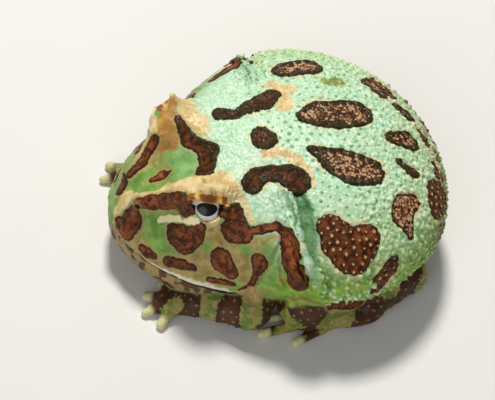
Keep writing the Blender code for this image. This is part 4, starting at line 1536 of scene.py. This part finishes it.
def skin_material():
    n = SkinNodes("frog_skin")
    base = with_patches(n, body_colour(n))
    base = with_lid_band(n, with_blotches(n, base))
    grain = n.add("Bump", Strength=0.5, Distance=0.0003, Height=n.noise(n.at, 0.4, 2.0))
    return n.surface(
        Base_Color=with_lips(n, base),
        Roughness=n.ramp(n.fine, 0.2, 0.8, 0.42, 0.62),
        Normal=grain.outputs["Normal"],
        Specular_IOR_Level=n.ramp("dark", 0.1, -0.2, 0.22, 0.12),
        Coat_Weight=n.ramp("dark", 0.1, -0.2, 0.14, 0.07),
        Coat_Roughness=0.22,
    )


# Pupil on the eyeball: its middle and half sizes, across and up from where the eye looks
PUPIL_AT = (0.38, 1.15)
PUPIL = (2.9, 1.85)


def eye_material():
    """Silver above and below, olive at the ends, with fine veins and a broad dark pupil."""
    n = Nodes("frog_eye")
    across = n.minus("across", PUPIL_AT[0])
    up = n.minus("up", PUPIL_AT[1])
    half = n.maths("MULTIPLY_ADD", up, 0.25, PUPIL[0])
    wide = n.maths("POWER", n.size(n.maths("DIVIDE", across, half)), 2.0)
    tall = n.maths("POWER", n.size(n.maths("DIVIDE", up, PUPIL[1])), 2.0)
    oval = n.maths("SQRT", n.plus(wide, tall))
    vein = n.noise(n.place(), 0.5, 4.0, 0.7)
    wave = n.ramp(vein, 0.3, 0.7, -0.2, 0.2)
    silver = n.shade(vein, 0.4, 0.65, (244, 228, 218), (255, 253, 250))
    olive = n.shade(vein, 0.4, 0.6, (36, 26, 12), (78, 60, 30))
    ends = n.ramp(n.plus(n.size(across), wave), 3.0, 3.4)
    wedge = n.plus(n.times("across", -0.12), "up")
    ends = n.times(ends, n.ramp(n.plus(wedge, wave), 2.4, 2.1))
    iris = n.mix(ends, silver, olive)
    colour = n.mix(n.ramp(oval, 1.03, 0.99), iris, (10, 9, 12))
    return n.surface(
        Base_Color=colour, Roughness=0.38, Specular_IOR_Level=0.3, Coat_Weight=0.3, Coat_Roughness=0.03
    )


def make_eye(side, name):
    """A wet eyeball; each point also stores how far it lies across and up from where the eye looks."""
    rings, steps = 48, 64
    level, rise, gaze = eye_axes(side)
    turn = np.arange(steps) * 2 * np.pi / steps
    circle = np.outer(np.cos(turn), level) + np.outer(np.sin(turn), rise)
    polar = np.linspace(0, np.pi, rings + 1)[1:-1]
    rows = [np.cos(a) * gaze + np.sin(a) * circle for a in polar]
    points = EYE_RADIUS * np.concatenate([gaze[None], *rows, -gaze[None]])
    last = len(points) - 1
    faces = []
    for n in range(steps):
        after = (n + 1) % steps
        faces.append((0, 1 + n, 1 + after))
        faces.append((last, last - steps + after, last - steps + n))
        for start in range(1, last - steps, steps):
            faces.append((start + n, start + n + steps, start + after + steps, start + after))
    mesh = bpy.data.meshes.new(name)
    mesh.from_pydata(((np.array(on_side(EYE_AT, side)) + points) * MM).tolist(), [], faces)
    mesh.shade_smooth()
    obj = bpy.data.objects.new(name, mesh)
    bpy.context.scene.collection.objects.link(obj)
    store(obj, "across", points @ level * side)
    store(obj, "up", points @ rise)
    return obj


def stage_floor():
    mesh = bpy.data.meshes.new("floor")
    far = 3.0
    mesh.from_pydata([(-far, -far, 0), (far, -far, 0), (far, far, 0), (-far, far, 0)], [], [(0, 1, 2, 3)])
    floor = bpy.data.objects.new("floor", mesh)
    bpy.context.scene.collection.objects.link(floor)
    n = Nodes("floor_paint")
    shade = n.mix(n.noise(n.place(), 60.0), (226, 224, 220), (232, 230, 226))
    mesh.materials.append(n.surface(Base_Color=shade, Roughness=0.8))


# Photograph's viewpoint, in degrees and millimetres
CAMERA_AT = (303.36, -151.39, 395.13)
CAMERA_AZIMUTH = 64.517
CAMERA_ELEVATION = 48.624
CAMERA_ROLL = 11.308
CAMERA_LENS = 122.31


def make_camera():
    az, el, roll = np.radians((CAMERA_AZIMUTH, CAMERA_ELEVATION, CAMERA_ROLL))
    back = np.array((np.sin(az) * np.cos(el), -np.cos(az) * np.cos(el), np.sin(el)))
    right = np.array((np.cos(az), np.sin(az), 0))
    up = np.cross(back, right)
    turned_right = np.cos(roll) * right + np.sin(roll) * up
    turned_up = np.cos(roll) * up - np.sin(roll) * right
    camera = bpy.data.cameras.new("camera")
    camera.lens = CAMERA_LENS
    camera.sensor_width = 36
    camera.clip_start = 0.01
    obj = bpy.data.objects.new("camera", camera)
    matrix = Matrix.Identity(4)
    for n in range(3):
        matrix[n][0] = turned_right[n]
        matrix[n][1] = turned_up[n]
        matrix[n][2] = back[n]
        matrix[n][3] = CAMERA_AT[n] * MM
    obj.matrix_world = matrix
    bpy.context.scene.collection.objects.link(obj)
    bpy.context.scene.camera = obj


def make_light(name, at, size, power, colour=(1, 1, 1)):
    lamp = bpy.data.lights.new(name, "AREA")
    lamp.shape = "DISK"
    lamp.size = size
    lamp.energy = power
    lamp.color = colour
    obj = bpy.data.objects.new(name, lamp)
    obj.location = at
    direction = -obj.location.normalized()
    obj.rotation_euler = direction.to_track_quat("-Z", "Y").to_euler()
    bpy.context.scene.collection.objects.link(obj)


def make_studio():
    make_light("key", (-0.40, 0.02, 0.86), 0.18, 8.2, (1.0, 0.98, 0.93))
    make_light("fill", (0.75, -0.55, 0.55), 0.95, 4.2, (0.96, 0.98, 1.0))
    world = bpy.data.worlds.new("studio")
    world.use_nodes = True
    world.node_tree.nodes["Background"].inputs["Color"].default_value = (0.92, 0.94, 1.0, 1)
    world.node_tree.nodes["Background"].inputs["Strength"].default_value = 0.16
    bpy.context.scene.world = world
    bpy.context.scene.view_settings.view_transform = "Standard"


def dress_frog():
    hide = make_skin()
    hide.data.materials.append(skin_material())
    flesh = [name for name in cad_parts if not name.startswith("eye_")]
    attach(hide, "root")
    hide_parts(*flesh)
    wet = eye_material()
    for side, hand_name in ((1, "left"), (-1, "right")):
        eye = make_eye(side, f"wet_eye_{hand_name}")
        eye.data.materials.append(wet)
        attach(eye, "root")
        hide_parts(f"eye_{hand_name}")


dress_frog()
stage_floor()
make_camera()
make_studio()
